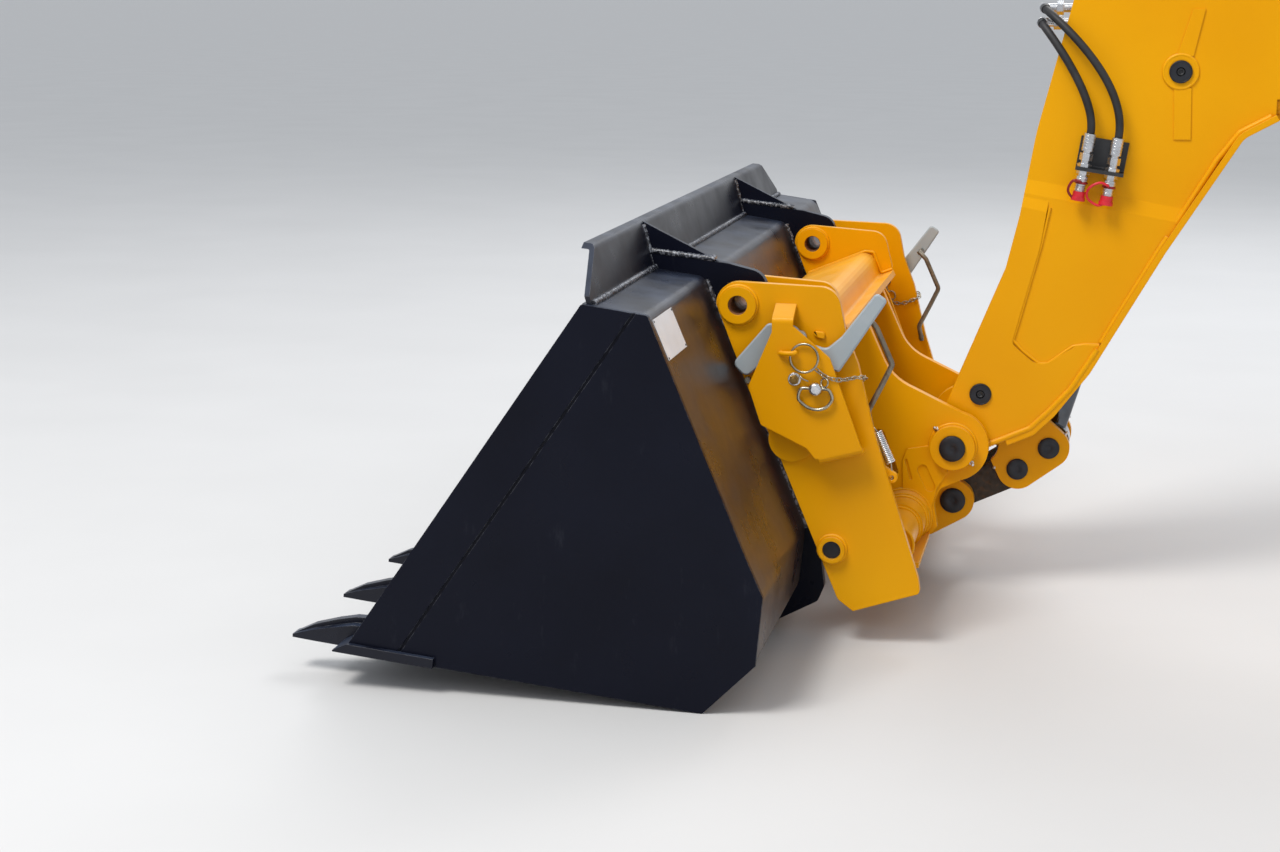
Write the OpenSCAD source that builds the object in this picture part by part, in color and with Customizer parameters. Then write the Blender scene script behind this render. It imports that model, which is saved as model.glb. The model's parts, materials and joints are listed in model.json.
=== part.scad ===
// Boom head of a telescopic handler: the fly section of its boom with the drop nose,
// the tilt ram and linkage, the quick-release carriage and a toothed loading bucket.
// Millimetres. +X runs forward along the boom, +Y to its left, +Z up. The origin is the
// middle of the bore at the tail, where the extension ram takes hold of the section.

/* [Boom tube] */
// Outer width of the box section
tube_w = 300; // [280:5:320]
// Outer height of the box section
tube_h = 390; // [360:5:420]
// Wall of the box section
tube_wall = 10; // [8:1:14]
// Outer radius of the box section's corners
tube_corner_r = 25; // [18:1:32]
// Distance from the tail bore back to the open end of the tube
tail_len = 150; // [120:5:220]
// Inner radius of the bore that takes the extension ram
tail_bore_r = 25; // [20:1:30]
// Outer radius of the boss around that bore
tail_boss_r = 45; // [40:1:55]
// Gap between the two halves of that boss, for the ram's eye
ram_eye_gap = 100; // [80:5:120]
// Thickness of a wear pad
pad_t = 18; // [12:1:25]
// Length of a wear pad along the boom
pad_len = 160; // [120:5:220]
// Width of a wear pad across the boom
pad_w = 90; // [60:5:110]

/* [Drop nose] */
// Distance from the tail bore forward to the carriage pivot
pivot_x = 2590; // [2400:10:2900]
// Depth of the carriage pivot below the boom's centre line
pivot_drop = 965; // [945:5:985]
// Thickness of a nose side plate
nose_t = 12; // [10:1:16]
// Height by which the lower cheek stands out past the upper one
cheek_step = 8; // [6:1:10]
// Thickness of the doubler on the lower cheek
doubler_t = 6; // [4:1:8]
// Distance by which a lower flange stands out past the doubler
flange_out = 6; // [4:1:10]
// Length by which the nose's side plates lap over the tube
lap_len = 90; // [60:5:140]
// Thickness of the lower flange
flange_t = 14; // [10:1:18]
// Radius of the nose around the carriage pivot
nose_r = 78; // [72:1:84]

/* [Pins] */
// Radius of the carriage pivot pin
pivot_pin_r = 30; // [26:1:34]
// Radius of the tilt lever's pivot pin
lever_pin_r = 25; // [22:1:28]
// Radius of the pins of the tilt link
link_pin_r = 25; // [22:1:28]
// Radius of the ram's two pins
ram_pin_r = 25; // [22:1:28]
// Outer radius of the tube that holds the carriage pivot pin
pivot_tube_r = 46; // [42:1:50]
// Radial running clearance of a pin in its bore
pin_gap = 0.05; // [0.03:0.01:0.09]

/* [Tilt ram] */
// Outer radius of the ram's barrel
barrel_r = 54; // [48:1:58]
// Radius of the ram's rod
rod_r = 27; // [24:1:32]
// Outer radius of the barrel's eye
ram_eye_r = 50; // [46:1:56]
// Half width of the barrel's eye
ram_eye_half = 45; // [40:1:50]
// Outer radius of the rod's eye
rod_eye_r = 46; // [42:1:47]
// Half width of the rod's eye
rod_eye_half = 40; // [35:1:45]
// Distance from the anchor pin to the end of the barrel's gland
barrel_len = 600; // [560:5:630]

/* [Tilt linkage] */
// Thickness of a tilt lever plate
lever_t = 25; // [18:1:28]
// Distance from the centre line to a tilt lever plate's outer face
lever_y = 110; // [105:1:112]
// Radius of the bosses that carry the tilt lever
lever_boss_r = 44; // [40:1:48]
// Radius of the tilt lever's eyes
lever_eye_r = 48; // [44:1:50]
// Radius of the tilt link's eye on the lever
link_eye_r = 42; // [38:1:44]
// Radius of the tilt link's eye on the carriage
link_end_r = 38; // [35:1:39]
// Gap between two faces that slide past each other at a pin
side_gap = 0.5; // [0.3:0.1:2]

/* [Carriage] */
// Distance from the centre line to the middle of a hook plate, between its two side plates
hook_y = 571; // [540:1:600]
// Distance between the middles of the two side plates at each side
frame_gap = 133; // [110:1:150]
// Thickness of a carriage side plate
frame_t = 20; // [14:1:24]
// Thickness of a pivot arm
arm_t = 25; // [20:1:30]
// Clearance between the nose's flange and a pivot arm
arm_gap = 8; // [6:1:14]
// Radius of the boss around the carriage pivot
arm_boss_r = 82; // [76:1:90]
// Radius of the cross tube
cross_r = 45; // [40:1:46]
// Wall of the cross tube
cross_wall = 10; // [8:1:14]
// Radius of a lock pin
lock_pin_r = 20; // [16:1:22]
// Thickness of the top beam's folded sheet
beam_t = 15; // [10:1:18]
// Distance from an outer side plate's face to the middle of the latch cover
cover_gap = 48; // [44:1:56]

/* [Bucket] */
// Width of the bucket's cutting edge
bucket_w = 2350; // [2100:10:2500]
// Thickness of the bucket's sheet
sheet_t = 10; // [8:1:12]
// Thickness of the bucket's side plates
side_t = 12; // [10:1:16]
// Thickness of the cutting edge
edge_t = 20; // [16:1:25]
// Depth of the cutting edge
edge_d = 214; // [180:2:240]
// Distance by which the cutting edge reaches out past each side plate
edge_out = 12; // [8:1:20]
// Number of teeth
tooth_n = 8; // [6:1:9]
// Width of a tooth
tooth_w = 66; // [50:1:80]
// Thickness of a hook plate
hook_t = 25; // [20:1:30]

/* [Hidden] */
$fn = 48;
// Boom level and half widths
pivot_z = -pivot_drop;
tube_bottom = -tube_h / 2;
tube_top = tube_h / 2;
nose_y = tube_w / 2;
nose_out = nose_y + nose_t;
lower_out = nose_out + cheek_step;
doubler_out = lower_out + doubler_t;
flange_y = doubler_out + flange_out;
arm_in = flange_y + arm_gap;
arm_out = arm_in + arm_t;
frame_outer = hook_y + frame_gap / 2;
frame_inner = hook_y - frame_gap / 2;
outer_face = frame_outer + frame_t / 2;
beam_half = frame_inner - frame_t / 2;

// Places in the plane of the linkage, measured from the carriage pivot: [forward, up]
lever_at = [-57, 119];
link_at = [-145, -70];
ram_at = [-216, -16];
ear_at = [4, -154];
anchor_at = [-472, 862];
hook_at = [434, 381];
lock_at = [223, -146];
cross_at = [108, -170];
heel = [409, -358];
// Turn of the tilt lever for each degree of the carriage, and how far the carriage crowds back
tilt_ratio = 0.712;
crowd_angle = 30;
floor_tilt = 5.9;
floor_len = 769;

// Plane geometry
function unit(v) = v / norm(v);
function left_of(v) = [-v[1], v[0]];
function turned(v, a) = [v[0] * cos(a) - v[1] * sin(a), v[0] * sin(a) + v[1] * cos(a)];
function bearing(v) = atan2(v[1], v[0]);
// One corner b between a and c, rounded to radius r
function corner(a, b, c, r, steps) =
    r <= 0 ? [b] :
    let (u = unit(a - b), v = unit(c - b), half = acos(u * v) / 2,
        centre = b + unit(u + v) * r / sin(half),
        from = bearing(b + u * r / tan(half) - centre),
        to = bearing(b + v * r / tan(half) - centre),
        sweep = (to - from + 540) % 360 - 180)
    [for (i = [0 : steps]) centre + r * [cos(from + sweep * i / steps), sin(from + sweep * i / steps)]];
// A closed outline from rows of [forward, up, corner radius]
function rounded(rows, steps = 6) =
    let (n = len(rows), p = [for (q = rows) [q[0], q[1]]])
    [for (i = [0 : n - 1]) each corner(p[(i + n - 1) % n], p[i], p[(i + 1) % n], rows[i][2], steps)];
// An open path from the same rows; its two ends stay sharp
function bent(rows, steps = 6) =
    let (n = len(rows), p = [for (q = rows) [q[0], q[1]]])
    [for (i = [0 : n - 1])
        each (i == 0 || i == n - 1 ? [p[i]] : corner(p[i - 1], p[i], p[i + 1], rows[i][2], steps))];
function normal_at(p, i) =
    i == 0 ? left_of(unit(p[1] - p[0])) :
    i == len(p) - 1 ? left_of(unit(p[i] - p[i - 1])) :
    let (a = left_of(unit(p[i] - p[i - 1])), b = left_of(unit(p[i + 1] - p[i])), m = unit(a + b))
    m / (m * a);
// The outline of a sheet of thickness t laid on the right-hand side of a path
function sheet(p, t) =
    concat(p, [for (i = [len(p) - 1 : -1 : 0]) p[i] - normal_at(p, i) * t]);

// A plate in the plane of the linkage, its middle at y and its thickness t
module plate(y, t) {
    translate([pivot_x, y, pivot_z]) rotate([90, 0, 0]) linear_extrude(height = t, center = true) children();
}
// The same from one y to another
module layer(y0, y1) {
    plate((y0 + y1) / 2, y1 - y0) children();
}
// A profile in [y, height above the line], run from place a to place b in the plane of the linkage
module run_along(a, b) {
    translate([pivot_x + a[0], 0, pivot_z + a[1]]) rotate([0, -bearing(b - a), 0]) rotate([90, 0, 90])
        linear_extrude(height = norm(b - a)) children();
}
// A round bar along Y around a place in the plane of the linkage
module bar_y(at, r, y0, y1) {
    translate([pivot_x + at[0], y1, pivot_z + at[1]]) rotate([90, 0, 0]) cylinder(h = y1 - y0, r = r);
}
module disc(at, r) {
    translate(at) circle(r = r);
}
// Two discs joined by their outer tangents
module strap(a, ra, b, rb) {
    d = norm(b - a);
    swing = acos((ra - rb) / d);
    line = bearing(b - a);
    disc(a, ra);
    disc(b, rb);
    polygon([for (s = [[a, ra, swing], [a, ra, -swing], [b, rb, -swing], [b, rb, swing]])
        s[0] + s[1] * [cos(line + s[2]), sin(line + s[2])]]);
}
module mirrored() {
    mirror([0, 1, 0]) children();
}

// Boom tube and what it carries at its tail
nose_back = -681;
tube_front = pivot_x + nose_back;
// A box of half sizes w and h with its corners rounded to r
function box_outline(w, h, r) = rounded([[w, -h, r], [w, h, r], [-w, h, r], [-w, -h, r]], 8);
module boom_tube() {
    color("goldenrod") difference() {
        translate([-tail_len, 0, 0]) rotate([90, 0, 90]) linear_extrude(height = tail_len + tube_front) difference() {
            polygon(box_outline(tube_w / 2, tube_h / 2, tube_corner_r));
            polygon(box_outline(tube_w / 2 - tube_wall, tube_h / 2 - tube_wall, tube_corner_r - tube_wall));
        }
        rotate([90, 0, 0]) cylinder(h = tube_w + 2, r = tail_bore_r, center = true);
    }
}
module tail_boss() {
    boss_len = tube_w / 2 - tube_wall - ram_eye_gap / 2;
    color("goldenrod") for (s = [-1, 1])
        translate([0, s * (ram_eye_gap + boss_len) / 2, 0]) rotate([90, 0, 0]) difference() {
            cylinder(h = boss_len, r = tail_boss_r, center = true);
            cylinder(h = boss_len + 2, r = tail_bore_r, center = true);
        }
}
pad_x = -tail_len + 30;
side_pad_x = tail_boss_r + 30;
module wear_pads() {
    color("dimgray") for (side = [-1, 1]) {
        translate([pad_x, -pad_w / 2, side > 0 ? tube_top : tube_bottom - pad_t]) cube([pad_len, pad_w, pad_t]);
        translate([side_pad_x, side > 0 ? tube_w / 2 : -tube_w / 2 - pad_t, -pad_w / 2])
            cube([pad_len, pad_t, pad_w]);
    }
}

// Drop nose
lower_edge = bent([
    [nose_back, pivot_drop + tube_bottom, 0], [-605, 728, 60], [-446, 466, 0], [-344, 281, 0], [-292, 186, 60],
    [-217, 84, 50], [-174, 40, 20], [-117, 14, 0],
], 6);
front_edge = bent([
    [14, 112, 0], [-103, 409, 200], [-132, 537, 300], [-162, 724, 600], [-233, 1018, 0],
    [-265, pivot_drop + tube_top, 50],
    [nose_back, pivot_drop + tube_top, 0],
], 8);
// Where the lower and the front edge run into the round end of the nose
nose_end = [[-72, -7], [35, 59]];
// Top of the joggle, where the cheek steps out to its lower part, and the joggle's height
joggle_back = [-484, 560];
joggle_front = [-146, 619];
joggle_h = 32;
joggle_end = 140;
// Hollow left in the doubler: its front wall, its rounded foot and its way out past the lower edge
doubler_hollow = [
    [-200, 600, 0], [-181, 467, 300], [-124, 240, 20], [-190, 186, 40], [-275, 243, 30], [-420, 243, 0],
    [-640, 560, 0],
];
lap_chamfer = 60;
lap_rows = [
    [nose_back + 5, pivot_drop + tube_bottom + tube_corner_r + 8],
    [nose_back - lap_len + lap_chamfer, pivot_drop + tube_bottom + tube_corner_r + 8],
    [nose_back - lap_len, pivot_drop + tube_bottom + tube_corner_r + 8 + lap_chamfer],
    [nose_back - lap_len, pivot_drop + tube_top - tube_corner_r - 8 - lap_chamfer],
    [nose_back - lap_len + lap_chamfer, pivot_drop + tube_top - tube_corner_r - 8],
    [nose_back + 5, pivot_drop + tube_top - tube_corner_r - 8],
];
anchor_ring_r = 36;
anchor_ring_t = 4;
module nose_outline() {
    polygon(concat(lower_edge, nose_end, front_edge));
    disc([0, 0], nose_r);
}
// Depth by which a plate laid on another is sunk in it, so that the two are one
sunk = 1;
// Everything below the joggle: a slope across it, then level
module below_joggle(drop, y0, y1) {
    down = unit(joggle_front - joggle_back);
    run_along(joggle_back - joggle_end * down, joggle_front + joggle_end * down)
        polygon([[y0 - 2 * sunk, -drop], [y0, -drop], [y1 + 2 * sunk, -drop - (y1 + 2 * sunk - y0) * joggle_h / cheek_step],
            [y1 + 2 * sunk, -900], [y0 - 2 * sunk, -900]]);
}
module nose_side() {
    color("goldenrod") difference() {
        union() {
            layer(nose_y, nose_out) {
                nose_outline();
                polygon(lap_rows);
            }
            intersection() {
                layer(nose_out - sunk, lower_out) nose_outline();
                below_joggle(0, nose_out, lower_out);
            }
            intersection() {
                layer(lower_out - sunk, doubler_out) difference() {
                    nose_outline();
                    polygon(rounded(doubler_hollow, 8));
                }
                below_joggle(joggle_h + 8, lower_out, doubler_out);
            }
            layer(nose_out - sunk, nose_out + anchor_ring_t) disc(anchor_at, anchor_ring_r);
            layer(lever_y + side_gap, nose_y + sunk) disc(lever_at, lever_boss_r);
            layer(ram_eye_half + side_gap, nose_y + sunk) disc(anchor_at, ram_eye_r);
        }
        bar_y([0, 0], pivot_pin_r + pin_gap, 0, flange_y);
        bar_y(lever_at, lever_pin_r + pin_gap, 0, flange_y);
        bar_y(anchor_at, ram_pin_r + pin_gap, 0, flange_y);
    }
}
module nose_side_left() {
    nose_side();
}
module nose_side_right() {
    mirrored() nose_side();
}
// Sheets that close the nose between its side plates
front_path = bent([[nose_back, pivot_drop + tube_top - 1, 0], [-267, pivot_drop + tube_top - 1, 48],
    [-242, 1018, 0], [-173, 724, 600], [-145, 537, 200], [-117, 409, 200], [-55, 230, 0]], 6);
front_t = 12;
module nose_front_plate() {
    color("goldenrod") plate(0, tube_w) polygon(sheet(front_path, front_t));
}
// Height above the pivot at which the underside opens to let the tilt ram out
throat_z = 480;
throat_edge = 20;
tongue_len = 60;
module nose_lower_plate() {
    color("goldenrod") {
        difference() {
            plate(0, 2 * flange_y) polygon(sheet(lower_edge, flange_t));
            plate(0, 2 * (nose_y - throat_edge)) translate([-1000, throat_z - 1000]) square(1000);
        }
        // Tongue welded under the tube
        translate([tube_front - tongue_len, tube_corner_r - tube_w / 2, tube_bottom - flange_t])
            cube([tongue_len + 3, tube_w - 2 * tube_corner_r, flange_t]);
    }
}
module nose_pivot_tube() {
    color("goldenrod") plate(0, tube_w) difference() {
        disc([0, 0], pivot_tube_r);
        disc([0, 0], pivot_pin_r + pin_gap);
    }
}
module pivot_pin() {
    color("#22252a") bar_y([0, 0], pivot_pin_r, -arm_out - 30, arm_out + 30);
}
// A pin that stands a little proud of both cheeks, with a recess in its near end
pin_proud = 5;
recess_r = 10;
recess_depth = 12;
module cheek_pin(at, r, face) {
    difference() {
        bar_y(at, r, -face - pin_proud, face + pin_proud);
        for (s = [-1, 1]) plate(s * (face + pin_proud), 2 * recess_depth) disc(at, recess_r);
    }
}
module lever_pin() {
    color("#22252a") cheek_pin(lever_at, lever_pin_r, doubler_out);
}
module ram_anchor_pin() {
    color("#22252a") cheek_pin(anchor_at, ram_pin_r, nose_out + anchor_ring_t);
}

// Auxiliary service on the left cheek: two couplings that stand in the ledge of a small angle bracket
bracket_at = [-306, 675];
bracket_tilt = -8.5;
bracket_w = 107;
bracket_h = 74;
bracket_shift = -4;
bracket_t = 8;
ledge_out = 56;
ledge_bend_r = 5;
coupling_gap = 31;
coupling_y = 36;
fit_gap = 0.3;
module at_bracket() {
    translate([pivot_x + bracket_at[0], nose_out, pivot_z + bracket_at[1]]) rotate([0, bracket_tilt, 0]) children();
}
// One coupling's length, from the bottom up: [radius, length, sides]
coupling_rows = [
    [9, 18, 48], [11.5, 24, 48], [13.5, 10, 48], [10, 5, 48], [15, 8, 6], [12, 8, 48], [16, 7, 6],
    [9, 8, 48], [14.5, 16, 6], [8.5, 5, 48], [13, 39, 48],
];
coupling_low = -102;
// The row that stands in the ledge's hole
seat_row = 5;
function stacked(rows, i) = i == 0 ? coupling_low : stacked(rows, i - 1) + rows[i - 1][1];
coupling_top = stacked(coupling_rows, len(coupling_rows));
module coupling() {
    for (i = [0 : len(coupling_rows) - 1]) translate([0, 0, stacked(coupling_rows, i)])
        cylinder(h = coupling_rows[i][1], r = coupling_rows[i][0], $fn = coupling_rows[i][2]);
}
module coupling_bracket() {
    low = stacked(coupling_rows, seat_row) + fit_gap;
    high = stacked(coupling_rows, seat_row + 1) - fit_gap;
    color("#1d1f22") at_bracket() difference() {
        translate([bracket_shift - bracket_w / 2, 0, 0]) rotate([90, 0, 90]) linear_extrude(bracket_w) polygon(rounded([
            [0, low, 0], [ledge_out, low, 0], [ledge_out, high, 0], [bracket_t, high, ledge_bend_r],
            [bracket_t, low + bracket_h, 0], [0, low + bracket_h, 0]], 8));
        for (s = [-1, 1]) translate([s * coupling_gap, coupling_y, low - 5])
            cylinder(h = bracket_h, r = coupling_rows[seat_row][0] + fit_gap);
    }
}
module couplings() {
    color("silver") at_bracket() for (s = [-1, 1]) translate([s * coupling_gap, coupling_y, 0]) coupling();
}
cap_r = 16;
cap_wall = 3;
cap_h = 20.7;
module coupling_caps() {
    color("crimson") at_bracket() for (s = [-1, 1]) translate([s * coupling_gap, coupling_y, coupling_low - cap_wall]) difference() {
        union() {
            cylinder(h = cap_h, r = cap_r - 2);
            cylinder(h = 8, r = cap_r);
        }
        translate([0, 0, cap_wall]) cylinder(h = cap_h, r = coupling_rows[0][0] + fit_gap);
    }
}
// The hoses: a curve from each elbow down to its coupling
hose_r = 9;
hose_rings = 28;
hose_sides = 14;
elbow_at = [[-164, 968], [-168, 1000]];
elbow_y = [nose_y - 32, nose_y - 66];
function bracket_point(x, z) = [pivot_x + bracket_at[0] + turned([x, z], -bracket_tilt)[0], nose_out + coupling_y,
    pivot_z + bracket_at[1] + turned([x, z], -bracket_tilt)[1]];
function curve(p, t) = pow(1 - t, 3) * p[0] + 3 * t * pow(1 - t, 2) * p[1] + 3 * t * t * (1 - t) * p[2] + pow(t, 3) * p[3];
function hose_ends(i) =
    let (along = (1 - 2 * i) * coupling_gap, low = bracket_point(along, coupling_top + fit_gap),
        up = bracket_point(along, coupling_top + 90 + 50 * i),
        high = [pivot_x + elbow_at[i][0], elbow_y[i] + 22.3, pivot_z + elbow_at[i][1]])
    [high, high + [0, 60 + 55 * i, 0], up, low];
function across(d) = unit(cross(d, [1, 0, 0.35]));
module hose(p) {
    rings = [for (k = [0 : hose_rings]) let (t = k / hose_rings, c = curve(p, t),
        d = unit(curve(p, min(1, t + 0.01)) - curve(p, max(0, t - 0.01))), u = across(d), v = cross(d, u))
        for (j = [0 : hose_sides - 1]) c + hose_r * (u * cos(360 * j / hose_sides) + v * sin(360 * j / hose_sides))];
    last = hose_rings * hose_sides;
    polyhedron(rings, concat([[for (j = [hose_sides - 1 : -1 : 0]) j]], [[for (j = [0 : hose_sides - 1]) last + j]],
        [for (k = [0 : hose_rings - 1], j = [0 : hose_sides - 1])
            let (a = k * hose_sides + j, b = k * hose_sides + (j + 1) % hose_sides)
            each [[a, b, b + hose_sides], [a, b + hose_sides, a + hose_sides]]]));
}
module auxiliary_hoses() {
    color("#1b1c1e") for (i = [0, 1]) hose(hose_ends(i));
}
// Elbows on the front sheet: an adapter with a hexagon, a knee and a short tail
elbow_r = 11;
module hose_elbows() {
    color("silver") for (i = [0, 1]) translate([pivot_x + elbow_at[i][0], elbow_y[i], pivot_z + elbow_at[i][1]]) difference() {
        union() {
            sphere(r = elbow_r);
            rotate([0, -90, 0]) cylinder(h = 74, r = elbow_r - 1);
            translate([-26, 0, 0]) rotate([0, -90, 0]) cylinder(h = 16, r = 16, $fn = 6);
            rotate([-90, 0, 0]) cylinder(h = 22, r = elbow_r + 1);
        }
        translate([-pivot_x - elbow_at[i][0], -elbow_y[i], -pivot_z - elbow_at[i][1]]) plate(0, tube_w) polygon(sheet(front_path, front_t));
    }
}

// Tilt linkage
module lever_outline() {
    // Where the pivot tube comes closest to the lever as the bucket is crowded
    tube_near = lever_at + turned(-lever_at, -tilt_ratio * crowd_angle);
    difference() {
        union() {
            strap(lever_at, lever_eye_r + 4, ram_at, lever_eye_r);
            strap(lever_at, lever_eye_r + 4, link_at, lever_eye_r);
            strap(link_at, lever_eye_r, ram_at, lever_eye_r);
        }
        disc([0, 0], pivot_tube_r + 6);
        disc(tube_near, pivot_tube_r + 6);
        disc(lever_at, lever_pin_r + pin_gap);
    }
}
module tilt_lever() {
    color("goldenrod") {
        for (s = [-1, 1]) {
            plate(s * (lever_y - lever_t / 2), lever_t) lever_outline();
            plate(s * (lever_y - lever_t + rod_eye_half + side_gap) / 2, lever_y - lever_t - rod_eye_half - side_gap)
                disc(ram_at, 38);
        }
        plate(0, 2 * (lever_y - lever_t)) difference() {
            disc(lever_at, lever_boss_r);
            disc(lever_at, lever_pin_r + pin_gap);
        }
    }
}
module tilt_lever_pins() {
    color("#22252a") for (s = [-1, 1], at = [link_at, ram_at]) plate(s * (lever_y + 2), 4) disc(at, link_pin_r);
}
link_half = lever_y - lever_t - side_gap;
link_cheek = 30;
module tilt_link() {
    color("#2a2724") {
        plate(0, 2 * link_half) disc(ear_at, link_end_r);
        for (s = [-1, 1]) plate(s * (link_half - link_cheek / 2), link_cheek) {
            strap(link_at, link_eye_r, ear_at, link_end_r - 8);
        }
        plate(0, 2 * link_half) strap(ear_at, 20, (ear_at * 2 + link_at) / 3, 14);
    }
}

// Tilt ram, built along the line from its anchor pin to its rod's pin
barrel_start = ram_eye_r + 8;
ram_len = norm(ram_at - anchor_at);
ram_turn = bearing(ram_at - anchor_at);
module along_ram() {
    translate([pivot_x + anchor_at[0], 0, pivot_z + anchor_at[1]]) rotate([0, -ram_turn, 0]) rotate([0, 90, 0]) children();
}
module ram_barrel() {
    color("#1b1c1e") difference() {
        union() {
            along_ram() cylinder(h = barrel_start + 2, r = 40);
            along_ram() translate([0, 0, barrel_start]) cylinder(h = barrel_len - barrel_start, r = barrel_r);
            bar_y(anchor_at, ram_eye_r, -ram_eye_half, ram_eye_half);
        }
        along_ram() translate([0, 0, 90]) cylinder(h = barrel_len - 140, r = barrel_r - barrel_wall);
        along_ram() cylinder(h = barrel_len + 1, r = rod_r + pin_gap);
        bar_y(anchor_at, ram_pin_r + pin_gap, -60, 60);
    }
}
// The piston in this pose: its distance back from the gland's end, and its length
piston_back = 270;
piston_len = 60;
barrel_wall = 9;
module ram_rod() {
    color("lightgray") {
        along_ram() translate([0, 0, barrel_len - piston_back]) cylinder(h = ram_len - barrel_len + piston_back, r = rod_r);
        along_ram() translate([0, 0, barrel_len - piston_back]) cylinder(h = piston_len, r = barrel_r - barrel_wall - 0.1);
        bar_y(ram_at, rod_eye_r, -rod_eye_half, rod_eye_half);
    }
}

// Carriage
arm_rows = [
    [-33, 73, 0], [147, 158, 120], [213, 303, 0], [262, 283, 0], [318, 262, 0], [215, -60, 0], [176, -200, 20],
    [120, -232, 12], [48, -214, 8], [31, -195, 6], [40, -140, 30], [28, -103, 20], [-36, -72, 0],
];
// Raised pad on the outer face of an arm, with an oblong pocket
arm_pad_rows = [
    [106, -10, 8], [42, 2, 0], [10, -60, 0], [34, -100, 0], [45, -150, 0], [112, -150, 0], [116, -40, 10],
];
arm_pad_t = 4;
collar_r = 62;
collar_end = arm_out + 40;
sleeve_r = 54;
sleeve_end = arm_out + 115;
module arm() {
    color("goldenrod") {
        layer(arm_in, arm_out) difference() {
            union() {
                polygon(rounded(arm_rows, 6));
                disc([0, 0], arm_boss_r);
            }
            disc([0, 0], pivot_pin_r + pin_gap);
            disc(cross_at, cross_r);
            strap([173, 20], 14, [140, -66], 14);
        }
        layer(arm_out - sunk, arm_out + 24) difference() {
            disc([0, 0], 52);
            disc([0, 0], pivot_pin_r + pin_gap);
        }
        layer(arm_out - sunk, arm_out + arm_pad_t) difference() {
            polygon(rounded(arm_pad_rows, 6));
            disc(cross_at, collar_r + 0.5);
            strap([69, -58], 12, [50, -98], 12);
            strap([108, -37], 3, [95, -80], 3);
        }
    }
}
module arm_left() {
    arm();
}
module arm_right() {
    mirrored() arm();
}
// Level plate welded under the cross tube, from its rear edge forward
under_plate = [[48, -220], [168, -220], [168, -208], [48, -208]];
module tube_ring(r, y0, y1) {
    layer(y0, y1) difference() {
        disc(cross_at, r);
        disc(cross_at, cross_r - 1);
    }
}
module cross_tube() {
    color("goldenrod") {
        layer(-beam_half, beam_half) difference() {
            disc(cross_at, cross_r);
            disc(cross_at, cross_r - cross_wall);
        }
        for (s = [0, 1]) mirror([0, s, 0]) {
            tube_ring(collar_r, arm_out, collar_end);
            tube_ring(sleeve_r, collar_end - sunk, sleeve_end);
            layer(arm_out, beam_half) difference() {
                polygon(under_plate);
                disc(cross_at, cross_r - 3);
            }
        }
    }
}
ear_y = lever_y;
ear_foot = [62, -218];
module link_ears() {
    color("goldenrod") for (s = [-1, 1]) plate(s * (ear_y - 12.5), 25) difference() {
        union() {
            strap(ear_at, 50, cross_at + [10, 0], 54);
            strap(ear_at, 50, ear_foot, 24);
            strap(ear_foot, 24, cross_at + [10, 0], 54);
        }
        disc(cross_at, cross_r);
    }
}
module ear_pins() {
    color("#22252a") for (s = [-1, 1]) plate(s * (ear_y + 2), 4) disc(ear_at, 30);
}
beam_path = bent([[440, 288, 0], [285, 352, 20], [262, 283, 22], [213, 303, 0]], 6);
module top_beam() {
    color("goldenrod") layer(-beam_half, beam_half) polygon(sheet(beam_path, beam_t));
}
outer_rows = [
    [482, 432, 48], [482, 381, 0], [411, 201, 0], [336, 43, 0], [209, -258, 20], [175, -283, 0], [31, -235, 10],
    [36, -202, 0], [141, 125, 0], [175, 260, 0], [204, 334, 0], [222, 423, 45],
];
inner_rows = [
    [482, 432, 44], [482, 381, 0], [411, 201, 0], [336, 43, 0], [209, -258, 20], [175, -283, 0], [78, -252, 10],
    [76, -202, 0], [181, 125, 0], [230, 250, 20], [262, 300, 8], [222, 322, 8], [245, 415, 40],
];
hook_pin_r = 26;
foot_at = [314, 95];
lug_rows = [[130, 30], 14, [100, 14], 12];
module frame_plate(rows, y) {
    plate(y, frame_t) difference() {
        polygon(rounded(rows, 8));
        disc(hook_at, hook_pin_r);
        disc(lock_at, lock_pin_r);
    }
}
module frame_outer_side() {
    color("goldenrod") {
        frame_plate(outer_rows, frame_outer);
        layer(outer_face - sunk, outer_face + 14) difference() {
            disc(lock_at, lock_pin_r + 9);
            disc(lock_at, lock_pin_r);
        }
        layer(outer_face - sunk, outer_face + 8) disc(foot_at, 50);
        // Lug for the latch's spring
        layer(outer_face - frame_t - 15, outer_face - frame_t + sunk) difference() {
            strap(lug_rows[0], lug_rows[1], lug_rows[2], lug_rows[3]);
            disc(lug_rows[2], 5);
        }
    }
}
module frame_inner_side() {
    color("goldenrod") {
        frame_plate(inner_rows, frame_inner);
    }
}
module frame_outer_left() {
    frame_outer_side();
}
module frame_inner_left() {
    frame_inner_side();
}
module frame_outer_right() {
    mirrored() frame_outer_side();
}
module frame_inner_right() {
    mirrored() frame_inner_side();
}
module hook_pin() {
    color("goldenrod") difference() {
        union() {
            bar_y(hook_at, hook_pin_r, beam_half - 10, outer_face + 12);
            bar_y(hook_at, 40, outer_face, outer_face + 12);
            bar_y(hook_at, 40, beam_half - 12, beam_half);
        }
        bar_y(hook_at, hook_pin_r - 5, beam_half - 50, outer_face + 50);
    }
}
module hook_pin_left() {
    hook_pin();
}
module hook_pin_right() {
    mirrored() hook_pin();
}
module lock_pin() {
    color("silver") bar_y(lock_at, lock_pin_r, beam_half, outer_face + 6);
}
module lock_pin_left() {
    lock_pin();
}
module lock_pin_right() {
    mirrored() lock_pin();
}
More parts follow.
